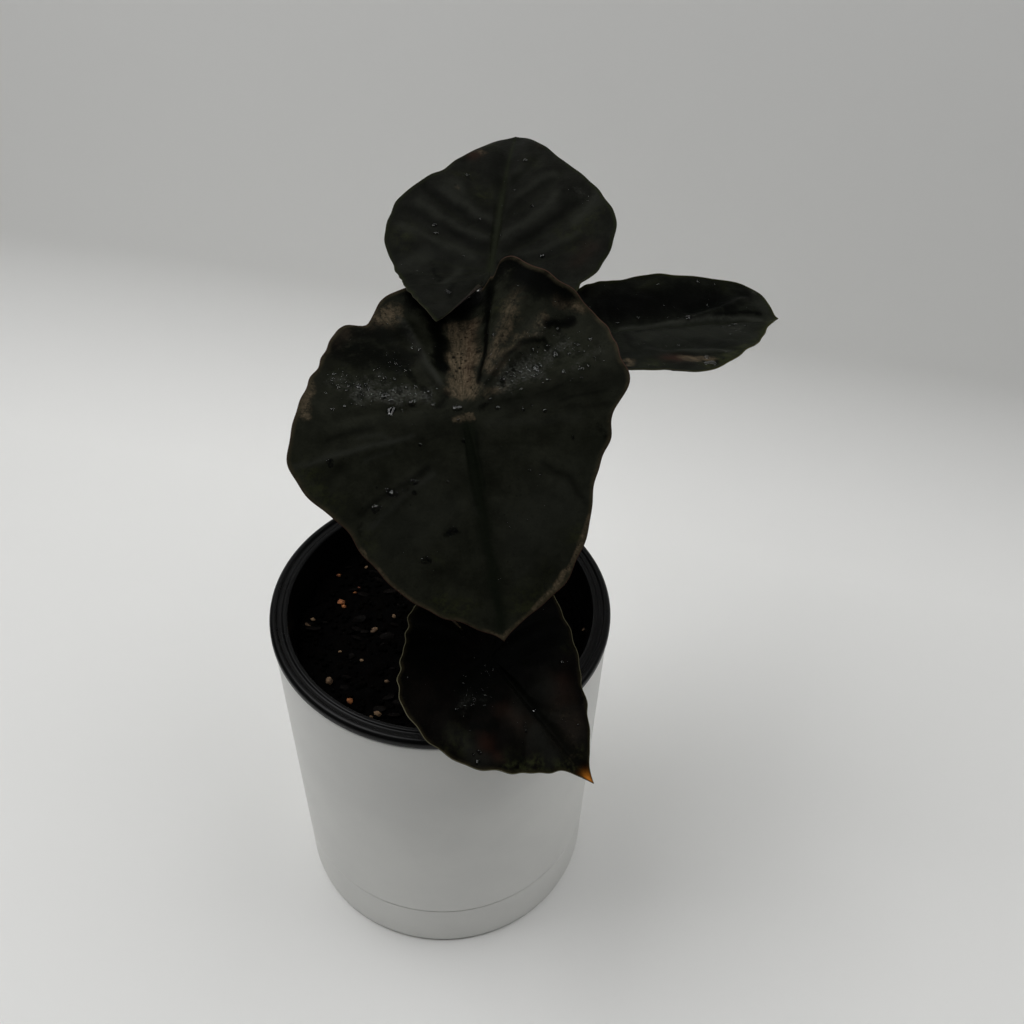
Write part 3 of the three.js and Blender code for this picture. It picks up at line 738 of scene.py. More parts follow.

# %% [markdown]
# ## Where a leaf is tan, misty, lit or in shade
# The leaves aren't one even black. A tan fans out from the joint of the front leaf: partly a coppery tint of
# the skin, partly a painted warm sheen where the wet lobes face the lights. The mist that greys some lobes is
# partly a film of fine drops and partly painted sheen. Valleys along the veins get painted shade, hollows and
# places under other leaves get painted shadow over the leaf's own darker tone, ridges and faces that turn to
# the lights get painted light, and thin parts show red or green. Each look is painted in the flat leaf with a
# few brush strokes: a width, a strength and the line that the brush follows. One point makes a dab.
# The looks come first, each with its colour, in the order in which the finish lays them on.
# %% Brush strokes on the blades
LOOKS = {
    "green": (0.021, 0.024, 0.009),
    "red": (0.028, 0.011, 0.007),
    # pale: painted light on ridges and on faces that turn to the lights
    "pale": (0.0165, 0.0175, 0.014),
    # shade: painted shade in the valleys along the veins and in hollows
    "shade": (0.0025, 0.0028, 0.0020),
    # mist: a film of fine drops, partly painted sheen where the wet lobes face the lights
    "mist_and_sheen": (0.046, 0.047, 0.041),
    # tan: a coppery tint, partly painted warm sheen on lobes that face the lights
    "tan": (0.083, 0.063, 0.040),
    # dark: painted shadow in hollows and under other leaves, over the leaf's own darker tone
    "dark": (0.0007, 0.0009, 0.0006),
    "rib": (0.0050, 0.0063, 0.0039),
    "orange": (0.50, 0.17, 0.02),
}
# Of these looks, shade is painted shade, dark painted shadow, pale painted light; tan and mist are partly
# painted sheen.
STROKES = {
    "front": {
        "tan": [(4.2, 1.0, [(-1, -7), (-1, -14), (-3, -24), (-3.5, -29)]),
                (3.8, 0.55, [(-9, -12), (-14, -22)]), (4.2, 0.5, [(-14, -22), (-18, -30)]),
                (2.6, 0.45, [(-16, -17), (-26, -23)]), (1.4, 0.65, [(-2, 1.2), (2.5, 1.8)]),
                (2.4, 0.45, [(-7, -4), (-12, -6)]), (4.2, 0.7, [(14, -37), (19, -34)]),
                (2.6, 0.7, [(41, -4), (40, -14)]), (2.4, 0.7, [(-30, -28), (-35, -26)]),
                (1.0, 0.8, [(-30, 31), (-26, 40), (-19, 49)]),
                (1.1, 0.8, [(-19, 49), (-10, 56.5), (-3, 61)]), (1.1, 0.9, [(-2, 61), (5, 58), (14, 53)]),
                (1.2, 1.0, [(14, 53), (21, 47.5), (27, 40.5), (31.5, 33)])],
        "mist_and_sheen": [(4.4, 0.7, [(-12, -8), (-20, -10)]), (4.4, 0.5, [(-22, -11), (-30, -16)]),
                 (3.4, 0.35, [(-30, -8), (-38, -12)]), (3.0, 0.8, [(9, -6.5), (18, -7.5), (27, -8.5)]),
                 (4.2, 0.45, [(20, -12), (32, -13)]), (3.0, 0.4, [(14, -16), (18, -22)]),
                 (2.5, 0.4, [(-30, -22), (-22, -20)])],
        "dark": [(8.0, 1.0, [(-36, -34), (-24, -36), (-22, -44)]), (4.0, 1.0, [(-9, -38), (-10, -46)]),
                 (5.5, 1.0, [(-21, -36), (-26, -33), (-31, -31)]),
                 (2.6, 1.0, [(3.4, -15), (3.4, -26), (2, -38)]), (5.0, 1.0, [(4, -38), (8, -44)]),
                 (8.0, 1.0, [(-14, -44), (-24, -48)]), (3.4, 1.0, [(-2, -36), (-8, -38)]),
                 (1.2, 0.8, [(-5, -8), (-8, -19), (-9.5, -28)]), (2.0, 0.9, [(-9.5, -28), (-12, -38)]),
                 (1.1, 0.6, [(-7, -7), (-13, -14), (-18, -17)]), (7.0, 0.7, [(15, -20), (28, -24)]),
                 (6.0, 0.7, [(14, -28), (24, -31)]), (1.6, 0.6, [(8, -6), (12, -13), (14, -20)]),
                 (1.6, 0.9, [(-26, -21.5), (-33, -22.5)]), (1.2, 0.7, [(-18, -17), (-24, -18), (-25, -16)]),
                 (1.6, 0.6, [(6, -3), (3, -6)]), (1.6, 0.6, [(-5, -1), (-8, -3)]),
                 (1.6, 0.5, [(-35, 8), (-37, 12)]), (1.5, 0.5, [(30, 26), (31, 29)]),
                 (1.3, 0.55, [(5, 30.5), (9, 31.5)])],
        "shade": [(0.9, 0.8, [(11, 13.5), (20, 18), (30, 23)]),
                  (0.9, 0.5, [(-19, 16), (-26, 21), (-29, 28)]), (0.6, 0.8, [(-2.4, 5), (-3, 20)]),
                  (3.5, 0.4, [(-3, 14), (-4, 20)]), (0.9, 0.5, [(2, 5), (12, 6)]),
                  (0.8, 0.6, [(24, 1), (36, 3)]), (0.8, 0.5, [(-26, 2), (-40, 3)]),
                  (3.5, 0.45, [(-12, -1), (-42, -3)]), (0.7, 0.7, [(-20, -2), (-28, -4), (-36, -3)]),
                  (0.7, 0.7, [(-26, 0), (-40, -1)]), (4.0, 0.35, [(0, 4), (14, 3)]),
                  (9.0, 0.6, [(20, -20), (32, -20)]), (2.0, 0.4, [(6, 44), (12, 40)]),
                  (2.0, 0.4, [(-17, 44), (-12, 50)]), (1.4, 0.5, [(34, 11), (38, 14)]),
                  (5.0, 0.6, [(22, -42), (12, -46)])],
        "pale": [(1.0, 0.8, [(10, 15.5), (19, 20.5), (28, 27)]),
                 (0.7, 0.8, [(14, 4.8), (30, 6.5), (45, 9)]), (9.0, 0.45, [(-22, 27), (-12, 34)]),
                 (8.0, 0.35, [(10, 24), (22, 30)]), (1.2, 0.4, [(0, 20), (0, 27)]),
                 (0.9, 0.9, [(5, -9), (8, -18), (11, -28), (13, -35)]),
                 (0.6, 0.5, [(18, 5.6), (22, 3.5), (28, 3.2)]), (0.6, 0.5, [(20, 8), (27, 9.5)]),
                 (1.3, 0.3, [(-6, 4), (-30, 5)]), (1.2, 0.3, [(-8, 45), (-16, 40)])],
        "rib": [(1.7, 0.9, [(-0.6, 4), (-1.2, 20), (-2.4, 40), (-3, 58)])],
        "red": [(5, 0.25, [(-20, -48)]), (3, 0.2, [(34, -24), (28, -31)]),
                (1.2, 0.4, [(-2, -9), (-6, -30)])],
        "green": [(3.5, 0.5, [(29, 31)]), (4, 0.4, [(42, 12), (38, 20)]), (3, 0.5, [(6, 52), (12, 49)]),
                  (3, 0.5, [(-8, 54), (-14, 49)]), (3, 0.5, [(-26, 36)]), (2, 0.35, [(12, 38)]),
                  (2, 0.35, [(-17, 44)]), (5, 0.25, [(14, -26)]), (5, 0.25, [(30, -16)]),
                  (4, 0.3, [(-14, -30)])],
    },
    "back": {
        "tan": [(2, 0.4, [(-14, 28)]), (2.5, 0.5, [(-10, 49)])],
        "mist_and_sheen": [(3, 0.3, [(-22, -4)]), (4, 0.4, [(22, 31)])],
        "dark": [(1.4, 0.5, [(-16, -3), (-13, -9)]), (1.5, 0.5, [(-9, -12), (-8, -20)]),
                 (1.4, 0.5, [(2, 3), (5, 6)])],
        "shade": [(1.7, 0.65, [(-2, 15), (-8, 17.5), (-14, 21), (-24, 28)]),
                  (1.5, 0.55, [(-2, 8), (-9, 10.5), (-16, 14), (-28, 20)]),
                  (1.6, 0.5, [(-4, 22), (-9, 27), (-13, 34)]), (3.0, 0.6, [(-3, 34), (-5, 50)]),
                  (3.5, 0.4, [(-9, 46)]), (1.6, 0.65, [(3, 8), (8, 11), (13, 16), (22, 27)]),
                  (1.5, 0.55, [(2, 20), (6, 27), (13, 36)]), (1.4, 0.5, [(9, 4), (17, 8), (25, 13)]),
                  (1.5, 0.6, [(2, 33), (5, 41), (7, 48)]), (3, 0.4, [(6, 20)])],
        "pale": [(1.5, 0.6, [(-2, 17.8), (-8, 20.4), (-14, 24.6), (-18, 28)]),
                 (1.4, 0.55, [(-4, 11), (-10, 13.5), (-17, 17), (-25, 23)]),
                 (1.7, 0.5, [(-6, 4.5), (-14, 7.5), (-28, 12)]), (2.4, 0.5, [(-12, 28), (-17, 31)]),
                 (1.6, 0.55, [(3, 13), (8, 17), (13, 23), (16, 29)]),
                 (1.5, 0.55, [(5, 28), (9, 34), (14, 39)]), (1.5, 0.55, [(11, 5.5), (18, 10), (24, 14)]),
                 (1.9, 0.6, [(22, 19), (27, 26), (28, 31)]), (2.5, 0.5, [(-19, 3), (-26, -3)]),
                 (2.5, 0.5, [(4, 41)]), (1.5, 0.5, [(-9, -1), (-11, -10)])],
        "red": [(3, 0.12, [(25, 5), (28, 9)]), (2.5, 0.4, [(9, 57)]), (2.5, 0.4, [(-12, 47)])],
        "green": [(3.5, 0.4, [(-6, 28)]), (4, 0.45, [(-27, 9)]), (3, 0.35, [(7, 44)]),
                  (4, 0.4, [(22, 13), (26, 20)]), (3, 0.35, [(-8, 54)]), (3, 0.3, [(-13, 35)])],
    },
    "right": {
        "tan": [(2.4, 0.9, [(26, 13), (28, 19)]), (1.8, 0.8, [(25, -3), (28, -3)])],
        "mist_and_sheen": [(3, 0.4, [(6, 36)])],
        "dark": [(9, 1.0, [(-12, 4), (-12, 34)]), (4, 0.9, [(-15, 44)]), (3, 0.9, [(-20, -6)]),
                 (1.0, 0.8, [(-4.5, 32), (-5.5, 40), (-4.5, 46)]), (2.5, 0.5, [(29, 8), (30, 13)])],
        "shade": [(1.2, 0.8, [(4, 2), (14, 1)]), (1.5, 0.6, [(1.6, 6), (0.5, 24), (-1, 40)]),
                  (2, 0.5, [(14, 18), (18, 26)]), (1.5, 0.6, [(16, 4), (20, 12)])],
        "pale": [(1.0, 1.0, [(-1, 2), (-1.5, 12), (-3, 24), (-3.5, 34), (-2, 46)]),
                 (1.2, 0.9, [(-5, 25), (-9, 36), (-14, 46), (-18, 50)]), (7, 0.45, [(6, 8), (6, 34)]),
                 (1.2, 0.7, [(17, 5), (21, 15), (25, 26)]), (2.5, 0.6, [(6, 37)]),
                 (3, 0.5, [(0, 48), (-10, 50)])],
        "red": [(3, 0.5, [(26, 10)])],
        "green": [(2.2, 0.8, [(-2, 50), (8, 44), (18, 37), (26, 29), (32, 18)]), (3, 0.5, [(-20, 16)]),
                  (3, 0.4, [(-14, 20)]), (3, 0.4, [(-17, 38)]), (3.5, 0.5, [(29, 3)])],
    },
    "low": {
        "tan": [(7, 0.25, [(-8, 24), (-4, 34), (2, 38)]), (5, 0.2, [(6, 30)]),
                (1.5, 0.3, [(-24, 17), (-14, 28)])],
        "mist_and_sheen": [(3, 0.6, [(11, 7), (17, 5)]), (2, 0.5, [(4, 2)]), (1.5, 0.4, [(6, 22)]),
                 (1.5, 0.3, [(-7, 21)])],
        "dark": [(9, 1.0, [(-18, 4), (10, 2)]), (10, 1.0, [(14, -14), (-8, -14)]),
                 (2.5, 0.7, [(14, 15), (20, 12)])],
        "shade": [(1.8, 0.7, [(-0.5, 8), (-0.8, 38)]), (2, 0.6, [(14, 27), (18, 24)]),
                  (2, 0.6, [(-14, 14), (-22, 10)])],
        "pale": [(6, 0.35, [(-8, 18), (-5, 32)]), (5, 0.35, [(6, 18), (5, 32)]),
                 (3, 0.3, [(26, 10), (24, 20)])],
        "red": [(3.5, 0.3, [(-13, 19), (-9, 23)]), (3, 0.25, [(6, 20), (8, 15)]), (2.5, 0.3, [(20, 18)]),
                (2, 0.3, [(20, 22)]), (5, 0.2, [(-6, 30)])],
        "green": [(3, 0.7, [(19, 26), (11, 33), (4, 40)]), (4, 0.4, [(27, 12)]), (3, 0.4, [(-22, 12)]),
                  (2, 0.5, [(-3, 38)])],
        "orange": [(2.5, 1.0, [(0, 46.5)])],
    },
}


def wander(x, y, amount=0.9):
    """Moves points a little to and fro, so that a stroke's sides aren't straight."""
    across = np.sin(0.51 * y + 1.9 * np.sin(0.33 * x + 0.4)) + 0.25 * np.sin(1.7 * y + 1.1 * x)
    along = np.sin(0.63 * x + 1.7 * np.sin(0.41 * y + 2.0)) + 0.25 * np.sin(1.9 * x - 1.3 * y)
    return x + amount * across, y + amount * along


def painted(strokes, x, y):
    """How strongly a few brush strokes cover every point, from 0 to 1."""
    cover = np.zeros(x.shape)
    for width, strength, line in strokes:
        moved = wander(x, y, min(0.8, 0.25 * width))
        gap, _ = near_curve(*moved, np.array(line if len(line) > 1 else line * 2, float))
        cover = np.maximum(cover, strength * np.exp(-(gap / width) ** 2))
    return cover


def stored(piece, name):
    """Reads back one stored number for each vertex."""
    values = np.empty(len(piece.data.vertices), np.float32)
    piece.data.attributes[name].data.foreach_get("value", values)
    return values


for name, piece in blades.items():
    x, y = stored(piece, "flat_x"), stored(piece, "flat_y")
    for look in LOOKS:
        store(piece, look, painted(STROKES[name].get(look, []), x, y))
    print(name, "leaf has", sum(len(lines) for lines in STROKES[name].values()), "brush strokes")

# %% [markdown]
# ## The upper face's finish
# The skin is nearly black and a little velvety, so it reflects less than most leaves do: the specular level
# is low and the same all over. What varies is the colour, and much of it is painted light: painted sheen in
# the tan and the mist, painted shade and shadow in the hollows, painted light on the ridges. Noise tears the
# edge of each brush stroke, streaks run out from the joint, specks break up the tan and the mist, and dark
# spots lie in the mist, where drops have run together. A thin film of water, where it is misty, is the
# shader's coat. A net of fine veins and a faint grain give the skin its close-up relief.
# %% Patterns of the skin
def flat_place(tree):
    """The point in the flat leaf, in mm, as a vector for patterns."""
    return add_node(tree, "ShaderNodeCombineXYZ", X=read(tree, "flat_x"), Y=read(tree, "flat_y")).outputs[0]


def fine_veins(tree, flat):
    """The net of small veins between the side veins, from 0 in a mesh's middle to 1 on its line."""
    bent = add_node(tree, "ShaderNodeVectorMath", Vector=flat)
    bent.operation = "ADD"
    sway = add_node(tree, "ShaderNodeTexNoise", Vector=flat, Scale=0.25, Detail=2.0)
    tree.links.new(sway.outputs["Color"], bent.inputs[1])
    wide = fade(tree, cells(tree, bent.outputs[0], 0.34, "DISTANCE_TO_EDGE"), 0.0, 0.12, 1.0, 0.0)
    small = fade(tree, cells(tree, bent.outputs[0], 0.95, "DISTANCE_TO_EDGE"), 0.0, 0.16, 1.0, 0.0)
    return calc(tree, "MULTIPLY_ADD", small, 0.45, wide)


def spokes_of(tree):
    """Fine streaks that run out from the joint."""
    turn = calc(tree, "ARCTAN2", read(tree, "flat_x"), read(tree, "flat_y"))
    length = calc(tree, "POWER", calc(tree, "ADD", calc(tree, "POWER", read(tree, "flat_x"), 2.0),
                                      calc(tree, "POWER", read(tree, "flat_y"), 2.0)), 0.5)
    where = add_node(tree, "ShaderNodeCombineXYZ", X=calc(tree, "MULTIPLY", turn, 14.0),
                     Y=calc(tree, "MULTIPLY", length, 0.12))
    return noise(tree, where.outputs[0], 1.8, 5.0, 0.7)


# %% [markdown]
# The painted looks would be too soft by themselves. Freckles and blots are laid on them, and a noise tears
# the edges of the tan, the mist and the dark, which carry painted sheen and painted shadow.
# %% Freckles, blots and torn edges
TORN = ("mist_and_sheen", "tan", "dark")


def freckles(tree, flat):
    """Small dark dots, scattered unevenly."""
    dots = fade(tree, cells(tree, flat, 0.9), 0.16, 0.30, 1.0, 0.0)
    larger = fade(tree, cells(tree, flat, 0.35), 0.14, 0.22, 1.0, 0.0)
    here = fade(tree, noise(tree, flat, 0.35, 3.0), 0.40, 0.55)
    return calc(tree, "MULTIPLY", calc(tree, "MAXIMUM", dots, larger), here)


def blots(tree, flat):
    """Dark, uneven spots of one to three millimetres, where drops have run together."""
    spots = add_node(tree, "ShaderNodeTexVoronoi", Vector=flat, Scale=0.22)
    spots.voronoi_dimensions = "2D"
    uneven = calc(tree, "MULTIPLY_ADD", noise(tree, flat, 0.8, 3.0), 0.5, spots.outputs["Distance"])
    return fade(tree, uneven, 0.43, 0.49, 1.0, 0.0)


def torn(tree, cover, rough_edge):
    """A painted patch whose soft border becomes a ragged edge."""
    uneven = calc(tree, "MULTIPLY", cover, calc(tree, "MULTIPLY_ADD", rough_edge, 4.0, -1.0))
    return calc(tree, "MULTIPLY", fade(tree, uneven, 0.2, 0.62), fade(tree, cover, 0.0, 1.0, 0.3, 1.0))


def looks_on(tree, tone, flat, streaks):
    """Lays every painted look over the skin's tone, painted sheen, light, shade and shadow among them."""
    rough_edge = noise(tree, flat, 0.42, 8.0, 0.75)
    specks = fade(tree, noise(tree, flat, 1.5, 4.0, 0.7), 0.48, 0.60)
    for look, colour in LOOKS.items():
        share = read(tree, look)
        if look in TORN:
            share = torn(tree, share, rough_edge)
        if look == "green":
            share = calc(tree, "MULTIPLY", share, fade(tree, rough_edge, 0.4, 0.62))
        if look == "mist_and_sheen":
            share = calc(tree, "MULTIPLY", share, calc(tree, "MULTIPLY_ADD", specks, 0.6, 0.25))
        if look == "tan":
            patchy = calc(tree, "MULTIPLY_ADD", specks, 0.35, calc(tree, "MULTIPLY_ADD", streaks, 0.5, 0.15))
            share = calc(tree, "MULTIPLY", share, patchy)
        tone = tint(tree, share, tone, colour)
    return tone


# %% [markdown]
# Each leaf's upper face has the same finish in its own shades. They are, in this order, the skin's dark and
# light shade, the veins, the band along the margin and the thin rim, whose colour is partly the margin's own
# and partly a painted highlight along the edge.
# %% Leaf finishes
def upper_finish(name, dark, light, vein, band, rim, rough):
    """Near-black skin in two shades, with the colours of its veins, its margin's band and its rim."""
    material, tree, shader = new_finish(name)
    flat = flat_place(tree)
    net = fine_veins(tree, flat)
    streaks = fade(tree, spokes_of(tree), 0.38, 0.60)
    grain = noise(tree, flat, 2.6, 3.0, 0.6)
    skin_tone = tint(tree, fade(tree, noise(tree, flat, 0.12, 8.0, 0.68), 0.38, 0.62), dark, light)
    skin_tone = tint(tree, calc(tree, "MULTIPLY", streaks, 0.25), skin_tone, dark)
    lines = calc(tree, "MAXIMUM", read(tree, "midrib"), calc(tree, "MULTIPLY", read(tree, "side_vein"), 0.3))
    skin_tone = tint(tree, calc(tree, "MULTIPLY", lines, 0.65), skin_tone, vein)
    skin_tone = tint(tree, calc(tree, "MULTIPLY", net, 0.06), skin_tone, vein)
    skin_tone = looks_on(tree, skin_tone, flat, streaks)
    pale = calc(tree, "MAXIMUM", read(tree, "tan"), read(tree, "mist_and_sheen"))
    pits = calc(tree, "MULTIPLY", freckles(tree, flat), calc(tree, "MULTIPLY_ADD", pale, 0.8, 0.15))
    puddles = blots(tree, flat)
    puddles = calc(tree, "MULTIPLY", puddles, calc(tree, "MULTIPLY_ADD", read(tree, "mist_and_sheen"), 0.7, 0.1))
    skin_tone = tint(tree, calc(tree, "MAXIMUM", pits, puddles), skin_tone, LOOKS["dark"])
    edge = read(tree, "edge")
    uneven = fade(tree, noise(tree, flat, 0.3, 4.0, 0.6), 0.35, 0.6, 0.3, 1.0)
    margin = calc(tree, "MULTIPLY", fade(tree, edge, 0.4, 1.6, 0.8, 0.0), uneven)
    skin_tone = tint(tree, margin, skin_tone, band)
    # The thin rim: partly the margin's own colour, partly a painted highlight along the edge.
    skin_tone = tint(tree, fade(tree, edge, 0.10, 0.32, 1.0, 0.0), skin_tone, rim)
    film = fade(tree, calc(tree, "MULTIPLY_ADD", read(tree, "mist_and_sheen"), 0.3, noise(tree, flat, 1.3, 5.0, 0.75)),
                0.72, 0.84)
    roughness = calc(tree, "MULTIPLY_ADD", grain, 0.2, rough - 0.1)
    relief_up = calc(tree, "MULTIPLY_ADD", net, -0.35, calc(tree, "MULTIPLY", grain, 0.4))
    finish(shader, Base_Color=skin_tone, Roughness=roughness, Normal=bump(tree, relief_up, 0.22, 0.0003),
           Specular_IOR_Level=0.012, Coat_Weight=calc(tree, "MULTIPLY", film, 0.4), Coat_Roughness=0.16,
           Coat_IOR=1.33)
    return material


def lower_finish(name, skin_tone, vein):
    """The dull underside, purple-brown with raised green veins."""
    material, tree, shader = new_finish(name)
    flat = flat_place(tree)
    net = fine_veins(tree, flat)
    clouds = fade(tree, noise(tree, flat, 0.1, 4.0, 0.6), 0.3, 0.7)
    tone = tint(tree, clouds, skin_tone, tuple(0.6 * c for c in skin_tone))
    lines = calc(tree, "MAXIMUM", read(tree, "midrib"), read(tree, "side_vein"))
    tone = tint(tree, calc(tree, "MAXIMUM", lines, calc(tree, "MULTIPLY", net, 0.35)), tone, vein)
    rough = calc(tree, "MULTIPLY_ADD", noise(tree, flat, 1.8, 3.0), 0.2, 0.45)
    finish(shader, Base_Color=tone, Roughness=rough, Normal=bump(tree, net, 0.4, 0.0003),
           Specular_IOR_Level=0.08)
    return material


UPPER = {
    "front": upper_finish("leaf_front_skin", (0.0070, 0.0076, 0.0051), (0.0120, 0.0128, 0.0088),
                          (0.0040, 0.0052, 0.0030), (0.026, 0.022, 0.013), (0.040, 0.022, 0.016), 0.50),
    "back": upper_finish("leaf_back_skin", (0.0050, 0.0052, 0.0042), (0.0083, 0.0087, 0.0070),
                         (0.0105, 0.0125, 0.0065), (0.011, 0.013, 0.006), (0.022, 0.022, 0.012), 0.50),
    "right": upper_finish("leaf_right_skin", (0.0028, 0.0032, 0.0023), (0.0056, 0.0064, 0.0044),
                          (0.010, 0.012, 0.007), (0.010, 0.012, 0.004), (0.05, 0.045, 0.015), 0.46),
    "low": upper_finish("leaf_low_skin", (0.0008, 0.0007, 0.0005), (0.0022, 0.0017, 0.0013),
                        (0.0012, 0.0011, 0.0008), (0.012, 0.010, 0.005), (0.09, 0.085, 0.05), 0.46),
}
underside = lower_finish("leaf_underside", (0.010, 0.0062, 0.0056), (0.016, 0.017, 0.009))
for name, piece in blades.items():
    piece.data.materials.append(UPPER[name])
    piece.data.materials.append(underside)
print("the skin's finish has", len(UPPER["front"].node_tree.nodes), "nodes")

# %% [markdown]
# ## Water on the leaves
# The plant was misted before its picture was taken. Each drop is a low dome whose foot follows the leaf and
# lies a little under its skin, so no gap shows. The large drops are listed one by one, as (x, y, radius,
# height) on the flat leaf in mm, and have an uneven outline.
# %% Large drops
DROPS = {
    "front": [(-26.7, -13.2, 1.0, 0.5),
              (18.7, -2.9, 1.3, 0.5), (19.7, -7.4, 1.2, 0.5), (20.8, 19, 1.2, 0.14), (25.8, 22.3, 1.3, 0.14),
              (6.9, 30.8, 1.5, 0.14), (14.6, 37.5, 1.4, 0.12), (12.7, -4.5, 1.1, 0.5), (1.5, -1.5, 1.2, 0.4),
              (-21, -10, 1.2, 0.5), (15, 16.6, 1.0, 0.12), (36, 9, 1.2, 0.1)],
    "back": [(-18.5, 14.2, 0.7, 0.4), (-9, -18, 1.0, 0.2), (-17.5, 11.4, 0.7, 0.4)],
    "right": [(-4, 23.5, 1.0, 0.5), (-10.6, 31.6, 0.6, 0.4), (30.5, 19, 1.6, 0.4), (27, 19, 1.0, 0.4)],
    "low": [(14, 6.5, 0.9, 0.8), (10, 5.8, 0.7, 0.65), (4.8, 3.4, 0.8, 0.7), (13.4, 1.3, 0.7, 0.6),
            (23.6, 18.2, 0.7, 0.6), (26, 19.8, 0.8, 0.7), (25.4, 17.6, 0.5, 0.45), (12.4, 9.8, 0.5, 0.45),
            (4.4, -2.4, 0.5, 0.4)],
}
DROP_SINK = 0.05


def face_of(leaf):
    """A function that gives the shaped upper face and its direction at points of the flat leaf."""
    surface = blade_surface(leaf)

    def face(x, y):
        angle = np.degrees(np.arctan2(x, y))
        part = np.hypot(x, y) / reach_at(leaf, angle)
        normal = normals_of(surface, angle, part)
        lift = relief(leaf, x, y)[0] * soft((1 - part) / 0.05)
        return surface(angle, part) + normal * lift[..., None], normal

    return face


def dome(face, x, y, radius, height, uneven, sides, layers):
    """One drop: rings that shrink as they rise off the leaf."""
    turn = full_turn(sides)
    outline = radius * (1 + uneven * np.sin(2 * turn + x) + 0.6 * uneven * np.sin(3 * turn + y))
    rings = []
    for t in np.linspace(1, 0.15, layers):
        points, normal = face(x + outline * t * np.cos(turn), y + outline * t * np.sin(turn))
        rings.append(points + normal * (height * math.sqrt(1 - t * t) - DROP_SINK))
    return rings


# %% [markdown]
# The many fine drops are placed by chance. A place is drawn, and it is kept only if it lies on the leaf, and
# more often where the strokes say that the leaf is misty. A seed makes the draws the same each time. Most of
# these drops are tiny and a few are larger, because a random number raised to a high power is mostly small.
# The water refracts as water does, but a grey tint in it is painted shade that darkens the drops.
# %% Fine drops and the water
SPRINKLES = {"front": 360, "back": 36, "right": 60, "low": 90}
LEAF_HALF, WITHIN, STRAYS = 48, 0.93, 0.03
FINE_RADIUS, FINE_SPREAD, FINE_HEIGHT = 0.18, 0.7, 0.42
rng = np.random.default_rng(7)


def wet_places(leaf, mist_and_sheen, count):
    """Random places on the flat leaf, more of them where it is wet."""
    found = []
    while len(found) < count:
        x, y = rng.uniform(-LEAF_HALF, LEAF_HALF, 2)
        angle = np.degrees(np.arctan2(x, y))
        inside = math.hypot(x, y) < WITHIN * reach_at(leaf, np.array([angle]))[0]
        if inside and rng.random() < STRAYS + painted(mist_and_sheen, np.array([x]), np.array([y]))[0]:
            found.append((x, y))
    return found


def water(name, leaf):
    """All the drops of one leaf as one mesh."""
    face = face_of(leaf)
    parts = [dome(face, *drop, uneven=0.22, sides=26, layers=6) for drop in DROPS[name]]
    for x, y in wet_places(leaf, STROKES[name]["mist_and_sheen"], SPRINKLES[name]):
        radius = FINE_RADIUS + FINE_SPREAD * rng.random() ** 5
        parts.append(dome(face, x, y, radius, FINE_HEIGHT * radius, uneven=0.08, sides=12, layers=4))
    return several("water_" + name, parts)


def several(name, stacks, smooth=True):
    """Many stacks of rings as one mesh."""
    points, faces, count = [], [], 0
    for rings in stacks:
        more_points, more_faces = ring_mesh(rings)
        points.append(more_points)
        faces.append(more_faces + count)
        count += len(more_points)
    return mesh_object(name, np.concatenate(points) * MM, np.concatenate(faces), smooth)


def water_finish():
    """Water with a grey tint, painted shade that darkens the drops, and a faint unevenness in its skin."""
    material, tree, shader = new_finish("water")
    ripple = noise(tree, place(tree), 900.0, 2.0)
    rough = calc(tree, "MULTIPLY_ADD", ripple, 0.03, 0.01)
    # The grey Base Color is painted shade: it darkens all that shows through a drop.
    finish(shader, Base_Color=(0.55, 0.57, 0.55, 1), Roughness=rough, IOR=1.33, Transmission_Weight=1.0)
    return material


grey_tinted_water = water_finish()
for name, leaf in LEAVES.items():
    drops = water(name, leaf)
    drops.data.materials.append(grey_tinted_water)
    seat(drops, "leaf_dark")

# %% [markdown]
# ## Stalks and crown
# Each stalk leaves the crown straight, bows over and meets its blade square to the joint. It is thickest at
# the foot, where a dry papery sheath wraps it, and it has a shallow groove along its upper side.
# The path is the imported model's line and curve, sampled much more closely. Only the back leaf's stalk ends a
# little aside of it.
# %% Stalk paths
STALK_FOOT, STALK_HEAD, STALK_RING, STALK_SUNK, STALK_STRAIGHT, STALK_SEAT = 2.3, 1.6, 5.4, 4.0, 8.0, 0.65
STALK_TUCK, CROWN_TOP, CAD_THICKNESS = 0.95, 121.0, 0.8


def unit(v):
    """The same direction with a length of one."""
    return v / np.linalg.norm(v)


def stalk_path(leaf, steps):
    """Evenly spaced points along the stalk, from inside the crown to the blade's underside."""
    turn = math.radians(leaf["stalk"])
    foot = np.array([STALK_RING * math.cos(turn), STALK_RING * math.sin(turn), CROWN_TOP - STALK_SUNK])
    around = normals_of(blade_surface(leaf), np.array([90.0, 270.0]), np.array([0.04, 0.04]))
    normal = unit(around.sum(axis=0))
    head = np.array(leaf["joint"]) + (leaf.get("aside", 0), 0, 0) - normal * (CAD_THICKNESS + STALK_SEAT)
    climb = head - foot
    start = unit(climb * (0.3, 0.3, 1))
    knee = foot + start * STALK_STRAIGHT
    reach = np.linalg.norm(climb) / 3
    bow = handled(knee, knee + start * reach, head - normal * reach / 2, head, 60)
    tuck = head + normal * (CAD_THICKNESS + STALK_SEAT - STALK_TUCK)
    line = np.concatenate([[foot], bow, [tuck]])
    far = np.concatenate([[0], np.cumsum(np.linalg.norm(np.diff(line, axis=0), axis=1))])
    even = np.linspace(0, far[-1], steps)
    return np.stack([np.interp(even, far, line[:, i]) for i in range(3)], 1), even


